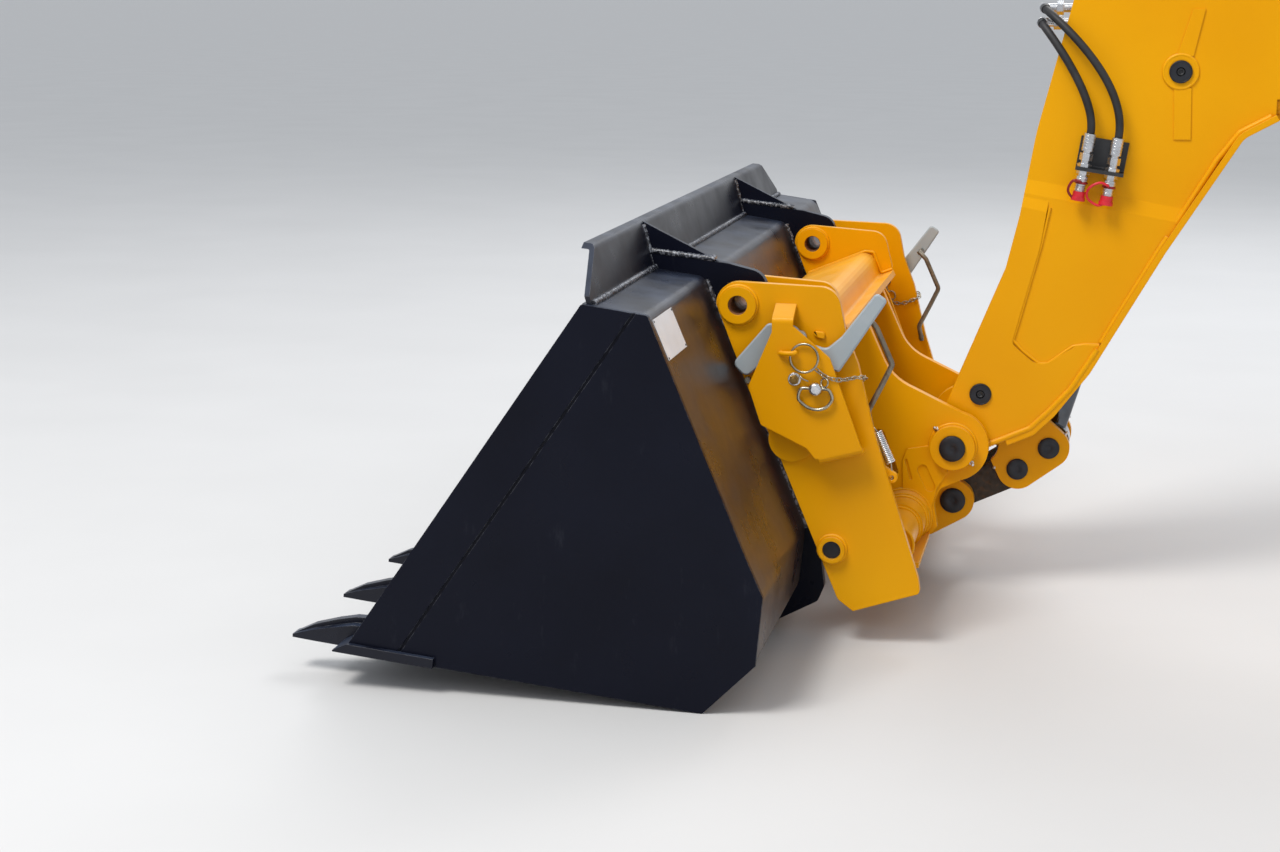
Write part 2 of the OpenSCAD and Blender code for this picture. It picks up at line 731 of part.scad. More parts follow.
// Latch cover: a sheet that stands off the side plate, bent in to it at the top and curled in at the foot
cover_y = outer_face + cover_gap;
cover_t = 8;
tab_x = [308, 353];
cover_rows = [
    [tab_x[1], 346, 0], [tab_x[0], 346, 0], [229, 281, 15], [158.2, 89.3, 0], [255.6, 62.1, 0], [276, 86, 0],
    [374, 132, 12], [402, 215, 12], [tab_x[1], 333, 12],
];
cover_foot = [[154, 78], [247, 52]];
tab_path = bent([[outer_face - 10, 392, 0], [cover_y + cover_t / 2, 362, 16], [cover_y + cover_t / 2, 346, 0]], 6);
curl_path = bent([[cover_y + cover_t / 2, 16, 0], [cover_y + cover_t / 2, 0, 12], [cover_y - 24, 0, 0]], 6);
module latch_cover() {
    color("goldenrod") {
        plate(cover_y, cover_t) polygon(rounded(cover_rows, 6));
        difference() {
            run_along([tab_x[0], 0], [tab_x[1], 0]) polygon(sheet(tab_path, cover_t));
            layer(outer_face - 60, outer_face) translate([200, 300]) square(200);
        }
        run_along(cover_foot[0], cover_foot[1]) polygon(sheet(curl_path, cover_t));
    }
}
module latch_cover_left() {
    latch_cover();
}
module latch_cover_right() {
    mirrored() latch_cover();
}
latch_rows = [
    [137, 417, 9], [114, 402, 9], [213, 246, 6], [265, 268, 30], [322, 310, 30], [408, 230, 14], [436, 256, 14],
    [366, 345, 10], [300, 348, 20], [222, 312, 12],
];
latch_at = [300, 316];
latch_y = outer_face + 15;
module latch_lever() {
    color("#9aa3a8") {
        bar_y(latch_at, 14, outer_face, cover_y - cover_t / 2);
        layer(latch_y, latch_y + 10) polygon(rounded(latch_rows, 6));
    }
}
module latch_lever_left() {
    latch_lever();
}
module latch_lever_right() {
    mirrored() latch_lever();
}
// Bent rod from the lever down to the side plate
latch_rod_path = bent([[168, 352, 0], [148, 332, 14], [114, 256, 20], [133, 213, 20], [163, 152, 14], [154, 112, 0]], 4);
latch_rod_y = 600;
module latch_rod() {
    color("#6b6358") {
        plate(latch_rod_y, 12) polygon(sheet(latch_rod_path, 12));
        bar_y([160, 350], 6, latch_rod_y, latch_y);
        bar_y([151, 120], 6, latch_rod_y, outer_face - frame_t);
    }
}
module latch_rod_left() {
    latch_rod();
}
module latch_rod_right() {
    mirrored() latch_rod();
}

// Bucket
half_w = bucket_w / 2;
side_out = half_w - edge_out;
inner_half = side_out - side_t;
function floor_at(u, v) = heel + turned([u, v], floor_tilt);
lip = floor_at(floor_len, 0);
shell_rows = [
    [floor_at(floor_len - edge_d, 0)[0], floor_at(floor_len - edge_d, 0)[1], 0], [heel[0], heel[1], 40],
    [304, -253, 60], [291, -113, 60], [325, -36, 120], [520, 431, 25], [650, 449, 0],
];
module bucket_shell() {
    color("#20242c") layer(-inner_half, inner_half) polygon(sheet(bent(shell_rows, 6), sheet_t));
}
side_rows = [
    [650, 449, 6], [520, 431, 6], [325, -36, 0], [291, -113, 0], [304, -253, 0], [heel[0], heel[1], 6],
    [floor_at(floor_len - edge_d, 0)[0], floor_at(floor_len - edge_d, 0)[1], 0],
    [floor_at(floor_len - edge_d, edge_t)[0], floor_at(floor_len - edge_d, edge_t)[1], 0],
    [floor_at(floor_len - 30, edge_t)[0], floor_at(floor_len - 30, edge_t)[1], 0],
];
// Groove between the side plate and the edge bar along its front
groove_line = [[523, 467], [1048, -293]];
groove_w = 6;
module bucket_side() {
    half = left_of(unit(groove_line[1] - groove_line[0])) * groove_w / 2;
    color("#20242c") difference() {
        layer(inner_half, side_out) polygon(rounded(side_rows, 4));
        layer(side_out - 4, side_out + 4)
            polygon([groove_line[0] - half, groove_line[1] - half, groove_line[1] + half, groove_line[0] + half]);
    }
}
module bucket_side_left() {
    bucket_side();
}
module bucket_side_right() {
    mirrored() bucket_side();
}
guard_foot = [631, 446];
guard_top = [660, 547];
// A place on the guard's rear face, at a share of its height
function guard_at(share) = guard_foot + share * (guard_top - guard_foot);
guard_path = bent([[guard_at(-0.2)[0], guard_at(-0.2)[1], 0], [guard_top[0], guard_top[1], 14],
    [guard_top[0] + 24, guard_top[1] + 2, 0]], 6);
// The guard's ends slope in from this height up
guard_slope = [463, 552];
guard_in = 153;
module bucket_guard() {
    rise = guard_slope[1] - guard_slope[0];
    color("#20242c") difference() {
        layer(-inner_half, inner_half) difference() {
            polygon(sheet(guard_path, sheet_t));
            polygon(rounded(shell_rows, 6));
        }
        for (s = [0, 1]) mirror([0, s, 0]) run_along([600, 0], [720, 0])
            polygon([[inner_half + guard_in / 5, guard_slope[0] - rise / 5],
                [inner_half + guard_in / 5, guard_slope[1] + rise / 5],
                [inner_half - guard_in * 6 / 5, guard_slope[1] + rise / 5]]);
    }
}
// The hook plate: its top, the shell's back, the foot, the rear edge and the finger over the hook pin
hook_rows = [
    [guard_at(0.35)[0], guard_at(0.35)[1], 0], [guard_foot[0], guard_foot[1], 0], [600, 400, 0], [400, -40, 0], [350, -113, 0],
    [350, -230, 0], [380, -310, 0], [349, -332, 0], [261, -284, 15], [247, -249, 15], [264, -110, 40],
    [302, -26, 80], [466, 366, 0], [hook_at[0], hook_at[1], 0], [408, 391, 0], [391, 350, 3],
    [381, 354, 5], [377, 400, 30], [394, 443, 40], [469, 461, 60],
];
hook_seat_r = 27;
lug_r = 40;
gusset_t = 12;
module bucket_hook() {
    color("#20242c") difference() {
        union() {
            plate(hook_y, hook_t) {
                polygon(rounded(hook_rows, 6));
                disc(lock_at, lug_r);
                translate(lock_at) translate([0, 2 - lug_r]) square([60, 2 * lug_r - 4]);
            }
            plate(hook_y, gusset_t) polygon([guard_top, guard_foot, [500, 440], [472, 455]]);
        }
        plate(hook_y, 2 * hook_t) polygon(rounded(shell_rows, 6));
        bar_y(hook_at, hook_seat_r, hook_y - hook_t, hook_y + hook_t);
        bar_y(lock_at, lock_pin_r + 0.3, hook_y - hook_t, hook_y + hook_t);
    }
}
module bucket_hook_left() {
    bucket_hook();
}
module bucket_hook_right() {
    mirrored() bucket_hook();
}
edge_outline = [
    floor_at(floor_len - edge_d, 0), floor_at(floor_len, 0), floor_at(floor_len, 3),
    floor_at(floor_len - 30, edge_t), floor_at(floor_len - edge_d, edge_t),
];
module cutting_edge() {
    color("#2b2f36") plate(0, bucket_w) polygon(edge_outline);
}
tooth_pitch = 302;
// Profiles of a tooth and of the rib along its back: [along the floor, above it]
tooth_under = [[655, edge_t - 2], [floor_len - 40, edge_t - 2], [floor_len - 8, 2], [704, 2], [700, -12], [893, -21]];
tooth_back = [[893, -14], [850, 4], [800, 20], [760, 31], [715, 34], [668, 27]];
rib_back = [[893, -14], [850, 12], [800, 31], [760, 43], [715, 47], [668, 40]];
// Its outline seen from above: [along the floor, half width]
tooth_plan = [[650, 0.36], [690, 0.5], [790, 0.5], [850, 0.38], [893, 0.27]];
rib_share = 0.34;
function floored(rows) = [for (q = rows) floor_at(q[0], q[1])];
module teeth() {
    n = len(tooth_plan);
    color("#2b2f36") for (i = [0 : tooth_n - 1]) translate([0, (i - (tooth_n - 1) / 2) * tooth_pitch, 0])
        difference() {
            intersection() {
                union() {
                    plate(0, tooth_w + 2) polygon(floored(concat(tooth_under, tooth_back)));
                    plate(0, tooth_w * rib_share) polygon(floored(concat(tooth_under, rib_back)));
                }
                translate([pivot_x + heel[0], 0, pivot_z + heel[1]]) rotate([0, -floor_tilt, 0])
                    translate([0, 0, -80]) linear_extrude(height = 180)
                        polygon(concat([for (q = tooth_plan) [q[0], -q[1] * tooth_w]],
                            [for (k = [n - 1 : -1 : 0]) [tooth_plan[k][0], tooth_plan[k][1] * tooth_w]]));
            }
            plate(0, 2 * tooth_w) polygon(edge_outline);
        }
}

boom_tube();
tail_boss();
wear_pads();
nose_side_left();
nose_side_right();
nose_front_plate();
nose_lower_plate();
nose_pivot_tube();
pivot_pin();
lever_pin();
ram_anchor_pin();
coupling_bracket();
couplings();
auxiliary_hoses();
hose_elbows();
coupling_caps();
tilt_lever();
tilt_lever_pins();
tilt_link();
ram_barrel();
ram_rod();
arm_left();
arm_right();
cross_tube();
link_ears();
ear_pins();
top_beam();
frame_outer_left();
frame_inner_left();
frame_outer_right();
frame_inner_right();
hook_pin_left();
hook_pin_right();
lock_pin_left();
lock_pin_right();
latch_cover_left();
latch_cover_right();
latch_lever_left();
latch_lever_right();
latch_rod_left();
latch_rod_right();
bucket_shell();
bucket_side_left();
bucket_side_right();
bucket_guard();
bucket_hook_left();
bucket_hook_right();
cutting_edge();
teeth();
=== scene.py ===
import json
import math

import bmesh
import bpy
from mathutils import Matrix, Vector


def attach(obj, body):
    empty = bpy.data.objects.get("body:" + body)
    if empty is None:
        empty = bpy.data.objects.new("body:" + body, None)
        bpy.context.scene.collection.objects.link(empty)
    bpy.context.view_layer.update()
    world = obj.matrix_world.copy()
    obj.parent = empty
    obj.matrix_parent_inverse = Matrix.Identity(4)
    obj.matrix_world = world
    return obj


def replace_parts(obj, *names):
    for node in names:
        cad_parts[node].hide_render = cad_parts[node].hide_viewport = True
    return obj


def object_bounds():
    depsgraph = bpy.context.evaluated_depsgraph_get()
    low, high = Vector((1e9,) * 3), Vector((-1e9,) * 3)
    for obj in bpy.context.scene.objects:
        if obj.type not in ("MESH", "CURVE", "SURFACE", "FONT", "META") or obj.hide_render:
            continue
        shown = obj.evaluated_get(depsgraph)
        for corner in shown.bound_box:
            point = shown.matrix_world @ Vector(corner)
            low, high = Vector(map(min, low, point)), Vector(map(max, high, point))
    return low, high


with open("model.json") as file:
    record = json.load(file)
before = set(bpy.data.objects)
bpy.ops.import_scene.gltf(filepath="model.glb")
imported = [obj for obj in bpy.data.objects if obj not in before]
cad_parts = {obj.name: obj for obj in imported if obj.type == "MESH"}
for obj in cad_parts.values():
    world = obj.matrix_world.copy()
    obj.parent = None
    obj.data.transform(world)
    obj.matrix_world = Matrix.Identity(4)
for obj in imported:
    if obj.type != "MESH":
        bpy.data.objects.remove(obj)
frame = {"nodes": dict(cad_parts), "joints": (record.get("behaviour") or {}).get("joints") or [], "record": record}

cad_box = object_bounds()
NODES = frame["nodes"]
SLOT_OF = {part["node"]: part["material_slot"] for part in frame["record"]["subparts"]}
MM = 0.001
SIDES = (1, -1)

# The carriage pivot is the zero of every place given as (forward, up) in millimetres
PIVOT = next(Vector(joint["pos_m"]) for joint in frame["joints"] if joint["name"] == "bucket_tilt")
GROUND = cad_box[0][2]


# Materials: small helpers, then one function for each kind of finish
def srgb(red, green, blue):
    """A colour given as it looks on a screen, 0 to 255, as linear values."""
    parts = []
    for value in (red, green, blue):
        share = value / 255
        parts.append(share / 12.92 if share <= 0.04045 else ((share + 0.055) / 1.055) ** 2.4)
    return (*parts, 1.0)


def shaded(tone, share, lift=0.0):
    """A tone made darker or lighter."""
    return tuple(min(1.0, part * share + lift) for part in tone[:3]) + (1.0,)


def fill(tree, socket, value):
    """Links an output to a socket, or sets the socket to a plain value."""
    if isinstance(value, bpy.types.NodeSocket):
        tree.links.new(value, socket)
    else:
        socket.default_value = value


def add(tree, kind, settings=None, **inputs):
    """A new node with its settings made and its inputs filled."""
    node = tree.nodes.new(kind)
    for name, value in (settings or {}).items():
        setattr(node, name, value)
    for name, value in inputs.items():
        fill(tree, node.inputs[name.replace("_", " ")], value)
    return node


def new_finish(name, roughness, metallic=0.0):
    """An empty material: itself, its tree and its shader."""
    material = bpy.data.materials.new(name)
    material.use_nodes = True
    tree = material.node_tree
    tree.nodes.clear()
    output = tree.nodes.new("ShaderNodeOutputMaterial")
    shader = add(tree, "ShaderNodeBsdfPrincipled", Roughness=roughness, Metallic=metallic)
    tree.links.new(shader.outputs["BSDF"], output.inputs["Surface"])
    return material, tree, shader


def noise(tree, scale, detail, roughness=0.5, stretch=(1, 1, 1)):
    """Cloudy grey between 0 and 1, about scale clouds to the metre, drawn out along an axis by stretch."""
    coordinates = add(tree, "ShaderNodeTexCoord")
    mapping = add(tree, "ShaderNodeMapping", Vector=coordinates.outputs["Object"], Scale=stretch)
    node = add(tree, "ShaderNodeTexNoise", Vector=mapping.outputs["Vector"], Scale=scale, Detail=detail,
               Roughness=roughness)
    return node.outputs["Fac"]


def between(tree, value, low, high, new_low=0.0, new_high=1.0):
    """The range from low to high turned into another range, and held inside it."""
    node = add(tree, "ShaderNodeMapRange", From_Min=low, From_Max=high, To_Min=new_low, To_Max=new_high,
               Value=value)
    return node.outputs["Result"]


def patches(tree, scale, detail, low, high, **look):
    """Soft patches: 0 where the noise is under low, 1 where it is over high."""
    return between(tree, noise(tree, scale, detail, **look), low, high)


def arithmetic(tree, operation, *values, clamp=False):
    """The result of one Math node."""
    node = add(tree, "ShaderNodeMath", {"operation": operation, "use_clamp": clamp})
    for socket, value in zip(node.inputs, values):
        fill(tree, socket, value)
    return node.outputs[0]


def times(tree, first, second):
    """Two masks multiplied, held between 0 and 1."""
    return arithmetic(tree, "MULTIPLY", first, second, clamp=True)


# Sockets of the Mix node that work on colours
MIX_SHARE, MIX_FIRST, MIX_SECOND, MIX_RESULT = 0, 6, 7, 2


def blend(tree, share, first, second):
    """The first tone where the share is 0, the second where it is 1."""
    node = add(tree, "ShaderNodeMix", {"data_type": "RGBA"})
    for index, value in ((MIX_SHARE, share), (MIX_FIRST, first), (MIX_SECOND, second)):
        fill(tree, node.inputs[index], value)
    return node.outputs[MIX_RESULT]


def over(tree, colour, mask, share, tone):
    """A tone laid over a colour inside a mask, as thick as the share says."""
    return blend(tree, times(tree, mask, share), colour, tone)


def eased_edges(tree, radius):
    """The normal of a surface whose edges are rounded."""
    return add(tree, "ShaderNodeBevel", {"samples": 6}, Radius=radius).outputs["Normal"]


def on_edges(tree, normal):
    """1 on the edges that an eased normal rounds, 0 on flat faces."""
    surface = tree.nodes.new("ShaderNodeNewGeometry")
    agree = add(tree, "ShaderNodeVectorMath", {"operation": "DOT_PRODUCT"})
    tree.links.new(normal, agree.inputs[0])
    tree.links.new(surface.outputs["True Normal"], agree.inputs[1])
    return between(tree, agree.outputs["Value"], 0.97, 0.80)


def corners(tree, distance):
    """1 in corners and beside other surfaces, where shade falls, 0 on open faces."""
    shade = add(tree, "ShaderNodeAmbientOcclusion", {"samples": 6}, Distance=distance)
    return between(tree, shade.outputs["AO"], 0.75, 0.25)


def facing_up(tree):
    """1 on faces that look up, where dust lies and a sky sheen is painted, 0 on walls."""
    surface = tree.nodes.new("ShaderNodeNewGeometry")
    split = add(tree, "ShaderNodeSeparateXYZ", Vector=surface.outputs["Normal"])
    return between(tree, split.outputs["Z"], 0.35, 0.95)


def varied_gloss(tree, shader, clouds, low, high, smoothest, roughest):
    """Roughness that wanders over the surface between two values."""
    rough = between(tree, clouds, low, high, smoothest, roughest)
    tree.links.new(rough, shader.inputs["Roughness"])


def uneven(tree, shader, layers, normal):
    """Bump from (height, strength, distance) layers, the first one at the bottom."""
    for height, strength, distance in layers:
        bump = add(tree, "ShaderNodeBump", Height=height, Strength=strength, Distance=distance, Normal=normal)
        normal = bump.outputs["Normal"]
    tree.links.new(normal, shader.inputs["Normal"])


def sprayed(tree, shader, normal, peel, waves):
    """Orange peel and the wide waves of plate, each given as (scale, strength, depth)."""
    layers = []
    for (scale, strength, depth), detail in ((peel, 2.0), (waves, 1.0)):
        layers.append((noise(tree, scale, detail), strength, depth))
    uneven(tree, shader, layers, normal)


# Yellow tones: the edge tone is a painted highlight, the ochre is grime with painted shade, the pale tone is dust
# with a painted sky sheen
YELLOW, YELLOW_LIGHT, YELLOW_EDGE_HIGHLIGHT = srgb(230, 157, 0), srgb(238, 168, 4), srgb(250, 190, 30)
OCHRE_GRIME_AND_SHADE, ROAD_DUST_AND_SHEEN = srgb(168, 100, 8), srgb(230, 204, 150)
BLUE_BLACK, BLUE_BLACK_LIGHT = srgb(9, 11, 23), srgb(15, 18, 32)
SCUFF_GREY, BARE_EDGE, BEAD_SPECK = srgb(58, 60, 68), srgb(118, 120, 128), srgb(150, 154, 164)
# Brown: a painted reflection of the yellow carriage; blue-grey: dust with a painted sky sheen
BROWN_PAINTED_REFLECTION, BLUE_DUST_AND_SHEEN = srgb(122, 96, 76), srgb(80, 92, 116)


def yellow_paint():
    """Sprayed machine enamel: warm yellow, soft gloss, orange peel, a painted highlight on its edges, grime with
    painted shade in its corners, road dust with a painted sky sheen where it can lie.
    """
    material, tree, shader = new_finish("yellow_paint", 0.34)
    for label, value in (("Specular IOR Level", 0.24), ("Specular Tint", (1.0, 0.8, 0.4, 1.0)),
                         ("Coat Weight", 0.06), ("Coat Roughness", 0.12)):
        shader.inputs[label].default_value = value
    normal = eased_edges(tree, 2.5 * MM)
    clouds = patches(tree, scale=2.2, detail=2.0, low=0.35, high=0.68)
    colour = blend(tree, clouds, YELLOW, YELLOW_LIGHT)
    # Painted highlight: the eased edges get a lighter yellow, as if lit
    colour = over(tree, colour, on_edges(tree, normal), 0.25, YELLOW_EDGE_HIGHLIGHT)
    # Grime and painted shade: a darker ochre in corners, where the occlusion falls
    grime_and_shade = times(tree, corners(tree, 30 * MM), patches(tree, scale=18, detail=4.0, low=0.35, high=0.7))
    colour = over(tree, colour, grime_and_shade, 0.4, OCHRE_GRIME_AND_SHADE)
    # Road dust and a painted sky sheen: faces that look up are made paler
    dust_and_sheen = times(tree, facing_up(tree), patches(tree, scale=9, detail=5.0, low=0.3, high=0.75))
    colour = over(tree, colour, dust_and_sheen, 0.28, ROAD_DUST_AND_SHEEN)
    tree.links.new(colour, shader.inputs["Base Color"])
    varied_gloss(tree, shader, noise(tree, 7, 5.0), low=0.3, high=0.7, smoothest=0.28, roughest=0.42)
    sprayed(tree, shader, normal, peel=(420, 0.06, 0.4 * MM), waves=(3, 0.10, 6 * MM))
    return material


def black_paint(name, gloss, specks=0.0, painted_reflection=0.0):
    """Thick blue-black enamel on plate: scuffs, a painted brown reflection of the carriage on walls, grey dust
    with a painted sky sheen, specks on rough beads.
    """
    material, tree, shader = new_finish(name, 0.35)
    shader.inputs["Specular IOR Level"].default_value = gloss
    normal = eased_edges(tree, 2.0 * MM)
    clouds = patches(tree, scale=3.0, detail=4.0, low=0.3, high=0.7)
    colour = blend(tree, clouds, BLUE_BLACK, BLUE_BLACK_LIGHT)
    scuffs = patches(tree, scale=26, detail=6.0, low=0.62, high=0.80, roughness=0.7, stretch=(1, 1, 0.25))
    colour = over(tree, colour, scuffs, 0.3, SCUFF_GREY)
    upward = facing_up(tree)
    # Painted reflection: walls are tinted brown where the yellow carriage would be mirrored
    painted_reflection_on_walls = times(tree, between(tree, upward, 0.0, 1.0, painted_reflection, 0.0),
                          patches(tree, scale=4, detail=5.0, low=0.3, high=0.65))
    colour = blend(tree, painted_reflection_on_walls, colour, BROWN_PAINTED_REFLECTION)
    # Dust and a painted sky sheen: faces that look up are made pale blue-grey
    dust_and_sheen = times(tree, upward, patches(tree, scale=11, detail=5.0, low=0.3, high=0.7))
    colour = over(tree, colour, dust_and_sheen, 0.42, BLUE_DUST_AND_SHEEN)
    worn = times(tree, on_edges(tree, normal), patches(tree, scale=60, detail=4.0, low=0.42, high=0.62))
    colour = over(tree, colour, worn, 0.6, BARE_EDGE)
    speckle = patches(tree, scale=150, detail=3.0, low=0.50, high=0.60)
    colour = over(tree, colour, speckle, specks, BEAD_SPECK)
    tree.links.new(colour, shader.inputs["Base Color"])
    varied_gloss(tree, shader, noise(tree, 8, 5.0), low=0.3, high=0.72, smoothest=0.24, roughest=0.42)
    sprayed(tree, shader, normal, peel=(240, 0.07, 0.5 * MM), waves=(2.5, 0.15, 8 * MM))
    return material


def plain_metal(name, tone, roughness, wear=(0.0, srgb(120, 100, 80)), metallic=1.0, grain=300):
    """Bare or plated metal with fine grain and blotches of wear, given as (share, tone)."""
    material, tree, shader = new_finish(name, roughness, metallic)
    normal = eased_edges(tree, 1.0 * MM)
    clouds = patches(tree, scale=40, detail=4.0, low=0.3, high=0.7)
    colour = blend(tree, clouds, shaded(tone, 0.72), tone)
    blotches = patches(tree, scale=70, detail=5.0, low=0.52, high=0.66)
    colour = over(tree, colour, blotches, *wear)
    tree.links.new(colour, shader.inputs["Base Color"])
    varied_gloss(tree, shader, noise(tree, 90, 4.0), low=0.3, high=0.7, smoothest=roughness * 0.75,
                 roughest=min(1.0, roughness * 1.35))
    uneven(tree, shader, [(noise(tree, grain, 3.0), 0.12, 0.3 * MM)], normal)
    return material


def soft_black(name, tone, roughness, grain):
    """Rubber, nylon or moulded plastic."""
    material, tree, shader = new_finish(name, roughness)
    normal = eased_edges(tree, 0.8 * MM)
    clouds = patches(tree, scale=30, detail=5.0, low=0.35, high=0.75)
    tree.links.new(blend(tree, clouds, tone, shaded(tone, 1.7, 0.01)), shader.inputs["Base Color"])
    uneven(tree, shader, [(noise(tree, grain, 2.0), 0.15, 0.3 * MM)], normal)
    return material


def flat_paint(name, tone, light, roughness):
    """Smooth thin paint or film, a little uneven in tone and darker in patches on its edges."""
    material, tree, shader = new_finish(name, roughness)
    normal = eased_edges(tree, 1.2 * MM)
    colour = blend(tree, patches(tree, scale=14, detail=3.0, low=0.3, high=0.7), tone, light)
    # Edges darkened in patches
    darker_edges = times(tree, on_edges(tree, normal), patches(tree, scale=80, detail=4.0, low=0.45, high=0.65))
    colour = over(tree, colour, darker_edges, 0.7, shaded(tone, 0.45))
    tree.links.new(colour, shader.inputs["Base Color"])
    varied_gloss(tree, shader, noise(tree, 20, 4.0), low=0.3, high=0.7, smoothest=roughness * 0.85,
                 roughest=roughness * 1.2)
    uneven(tree, shader, [(noise(tree, 350, 2.0), 0.05, 0.2 * MM)], normal)
    return material


FINISHES = {
    "yellow_paint": yellow_paint(),
    "black_paint": black_paint("black_paint", 0.12),
    "black_gloss": black_paint("black_gloss", 0.42),
    # The shell's walls get a painted brown reflection of the carriage
    "shell_gloss": black_paint("shell_gloss", 0.6, painted_reflection=0.28),
    "edge_steel": black_paint("edge_steel", 0.3),
    "bucket_bead": black_paint("bucket_bead", 0.7, 0.8),
    "pin_steel": plain_metal("pin_steel", srgb(52, 54, 60), 0.42, metallic=0.55),
    "black_metal": soft_black("black_metal", srgb(32, 33, 36), 0.42, 500),
    "zinc": plain_metal("zinc", srgb(228, 230, 234), 0.27, (0.12, srgb(150, 140, 120))),
    "silver_paint": flat_paint("silver_paint", srgb(158, 168, 174), srgb(170, 179, 184), 0.4),
    "label_film": flat_paint("label_film", srgb(222, 224, 228), srgb(234, 235, 238), 0.35),
    "wire": plain_metal("wire", srgb(190, 184, 166), 0.28, (0.35, srgb(130, 108, 72)), 0.9, 200),
    "brass": plain_metal("brass", srgb(150, 118, 62), 0.42, (0.4, srgb(96, 70, 40)), 0.8, 200),
    "hose_rubber": soft_black("hose_rubber", srgb(27, 27, 30), 0.55, 700),
    "red_plastic": soft_black("red_plastic", srgb(190, 24, 40), 0.35, 200),
    "dark_red": soft_black("dark_red", srgb(122, 8, 18), 0.4, 200),
    "dull_steel": plain_metal("dull_steel", srgb(140, 132, 118), 0.42, (0.5, srgb(96, 78, 58)), 0.7, 200),
    "nylon": soft_black("nylon", srgb(58, 58, 60), 0.6, 300),
    "dark_casting": plain_metal("dark_casting", srgb(62, 54, 46), 0.6, (0.5, srgb(96, 66, 38)), 0.2, 120),
    # The ram rod's tone is far darker than bright chrome: painted shade for the shadow it lies in
    "chrome_rod": plain_metal("chrome_rod", srgb(96, 100, 106), 0.14),
    "bore_steel": plain_metal("bore_steel", srgb(138, 90, 56), 0.55, (0.6, srgb(84, 48, 28)), 0.2, 120),
}

# Nodes whose finish differs from that of their record's slot: start of the name, finish
SPECIAL = [("latch_rod", "dull_steel"), ("bucket_shell", "shell_gloss"), ("bucket_guard", "black_gloss")]


def finish_of(node_name):
    """The finish of a node of the construction."""
    for start, finish in SPECIAL:
        if node_name.startswith(start):
            return finish
    return SLOT_OF[node_name]


for node_name, node_object in NODES.items():
    node_object.data.materials.clear()
    node_object.data.materials.append(FINISHES[finish_of(node_name)])


# Places, directions and outlines
def at(forward, up, y):
    """A place given in millimetres from the carriage pivot, as a point of the frame."""
    return PIVOT + Vector((forward, y, up)) * MM


def basis(axis):
    """Two directions square to an axis."""
    axis = axis.normalized()
    helper = Vector((0, 0, 1)) if abs(axis.z) < 0.9 else Vector((1, 0, 0))
    first = axis.cross(helper).normalized()
    return first, axis.cross(first)


def turns(count, phase=0.0):
    """The angles of points spread evenly round a circle."""
    return [math.tau * k / count + phase for k in range(count)]


def spoke(first, second, turn):
    """The direction at an angle from the first of two directions towards the second."""
    return first * math.cos(turn) + second * math.sin(turn)


def plane_run(rows, y):
    """Rows of (forward, up) as points of a plane square to Y."""
    return [at(forward, up, y) for forward, up in rows]


CIRCLE_POINTS = 48


def circle_run(centre, radius, y):
    """A circle in a plane square to Y, its centre given as (forward, up)."""
    forward, up = centre
    return plane_run([(forward + radius * math.cos(turn), up + radius * math.sin(turn))
                      for turn in turns(CIRCLE_POINTS)], y)


def ring_run(centre, axis, radius, count):
    """A circle about any axis."""
    first, second = basis(Vector(axis))
    return [centre + spoke(first, second, turn) * radius * MM for turn in turns(count)]


def smooth_run(points, steps=8):
    """A curve through all the points, from the first to the last."""
    last = len(points) - 1
    run = []
    for k in range(last):
        before, start, end, after = (points[min(max(k + j, 0), last)] for j in (-1, 0, 1, 2))
        for j in range(steps):
            t = j / steps
            lead = (end - before) * t
            bend = (2 * before - 5 * start + 4 * end - after) * t * t
            twist = (3 * start - before - 3 * end + after) * t ** 3
            run.append(0.5 * (2 * start + lead + bend + twist))
    run.append(points[-1])
    return run


CORNER_POINTS = 9


def filleted(rows):
    """An outline from (forward, up, corner radius) rows, with CORNER_POINTS points round each corner."""
    run = []
    for k, (forward, up, radius) in enumerate(rows):
        corner = Vector((forward, up))
        before = (Vector(rows[k - 1][:2]) - corner).normalized()
        after = (Vector(rows[(k + 1) % len(rows)][:2]) - corner).normalized()
        half = before.angle(after) / 2
        centre = corner + (before + after).normalized() * radius / math.sin(half)
        first, last = (corner + way * radius / math.tan(half) - centre for way in (before, after))
        for j in range(CORNER_POINTS):
            share = j / (CORNER_POINTS - 1)
            arm = (first * (1 - share) + last * share).normalized() * radius
            run.append((centre.x + arm.x, centre.y + arm.y))
    return run


def facing_side(outline):
    """A vector towards the side from which a flat outline runs anticlockwise."""
    start = outline[0]
    wedges = ((outline[k - 1] - start).cross(outline[k] - start) for k in range(len(outline)))
    return sum(wedges, Vector())


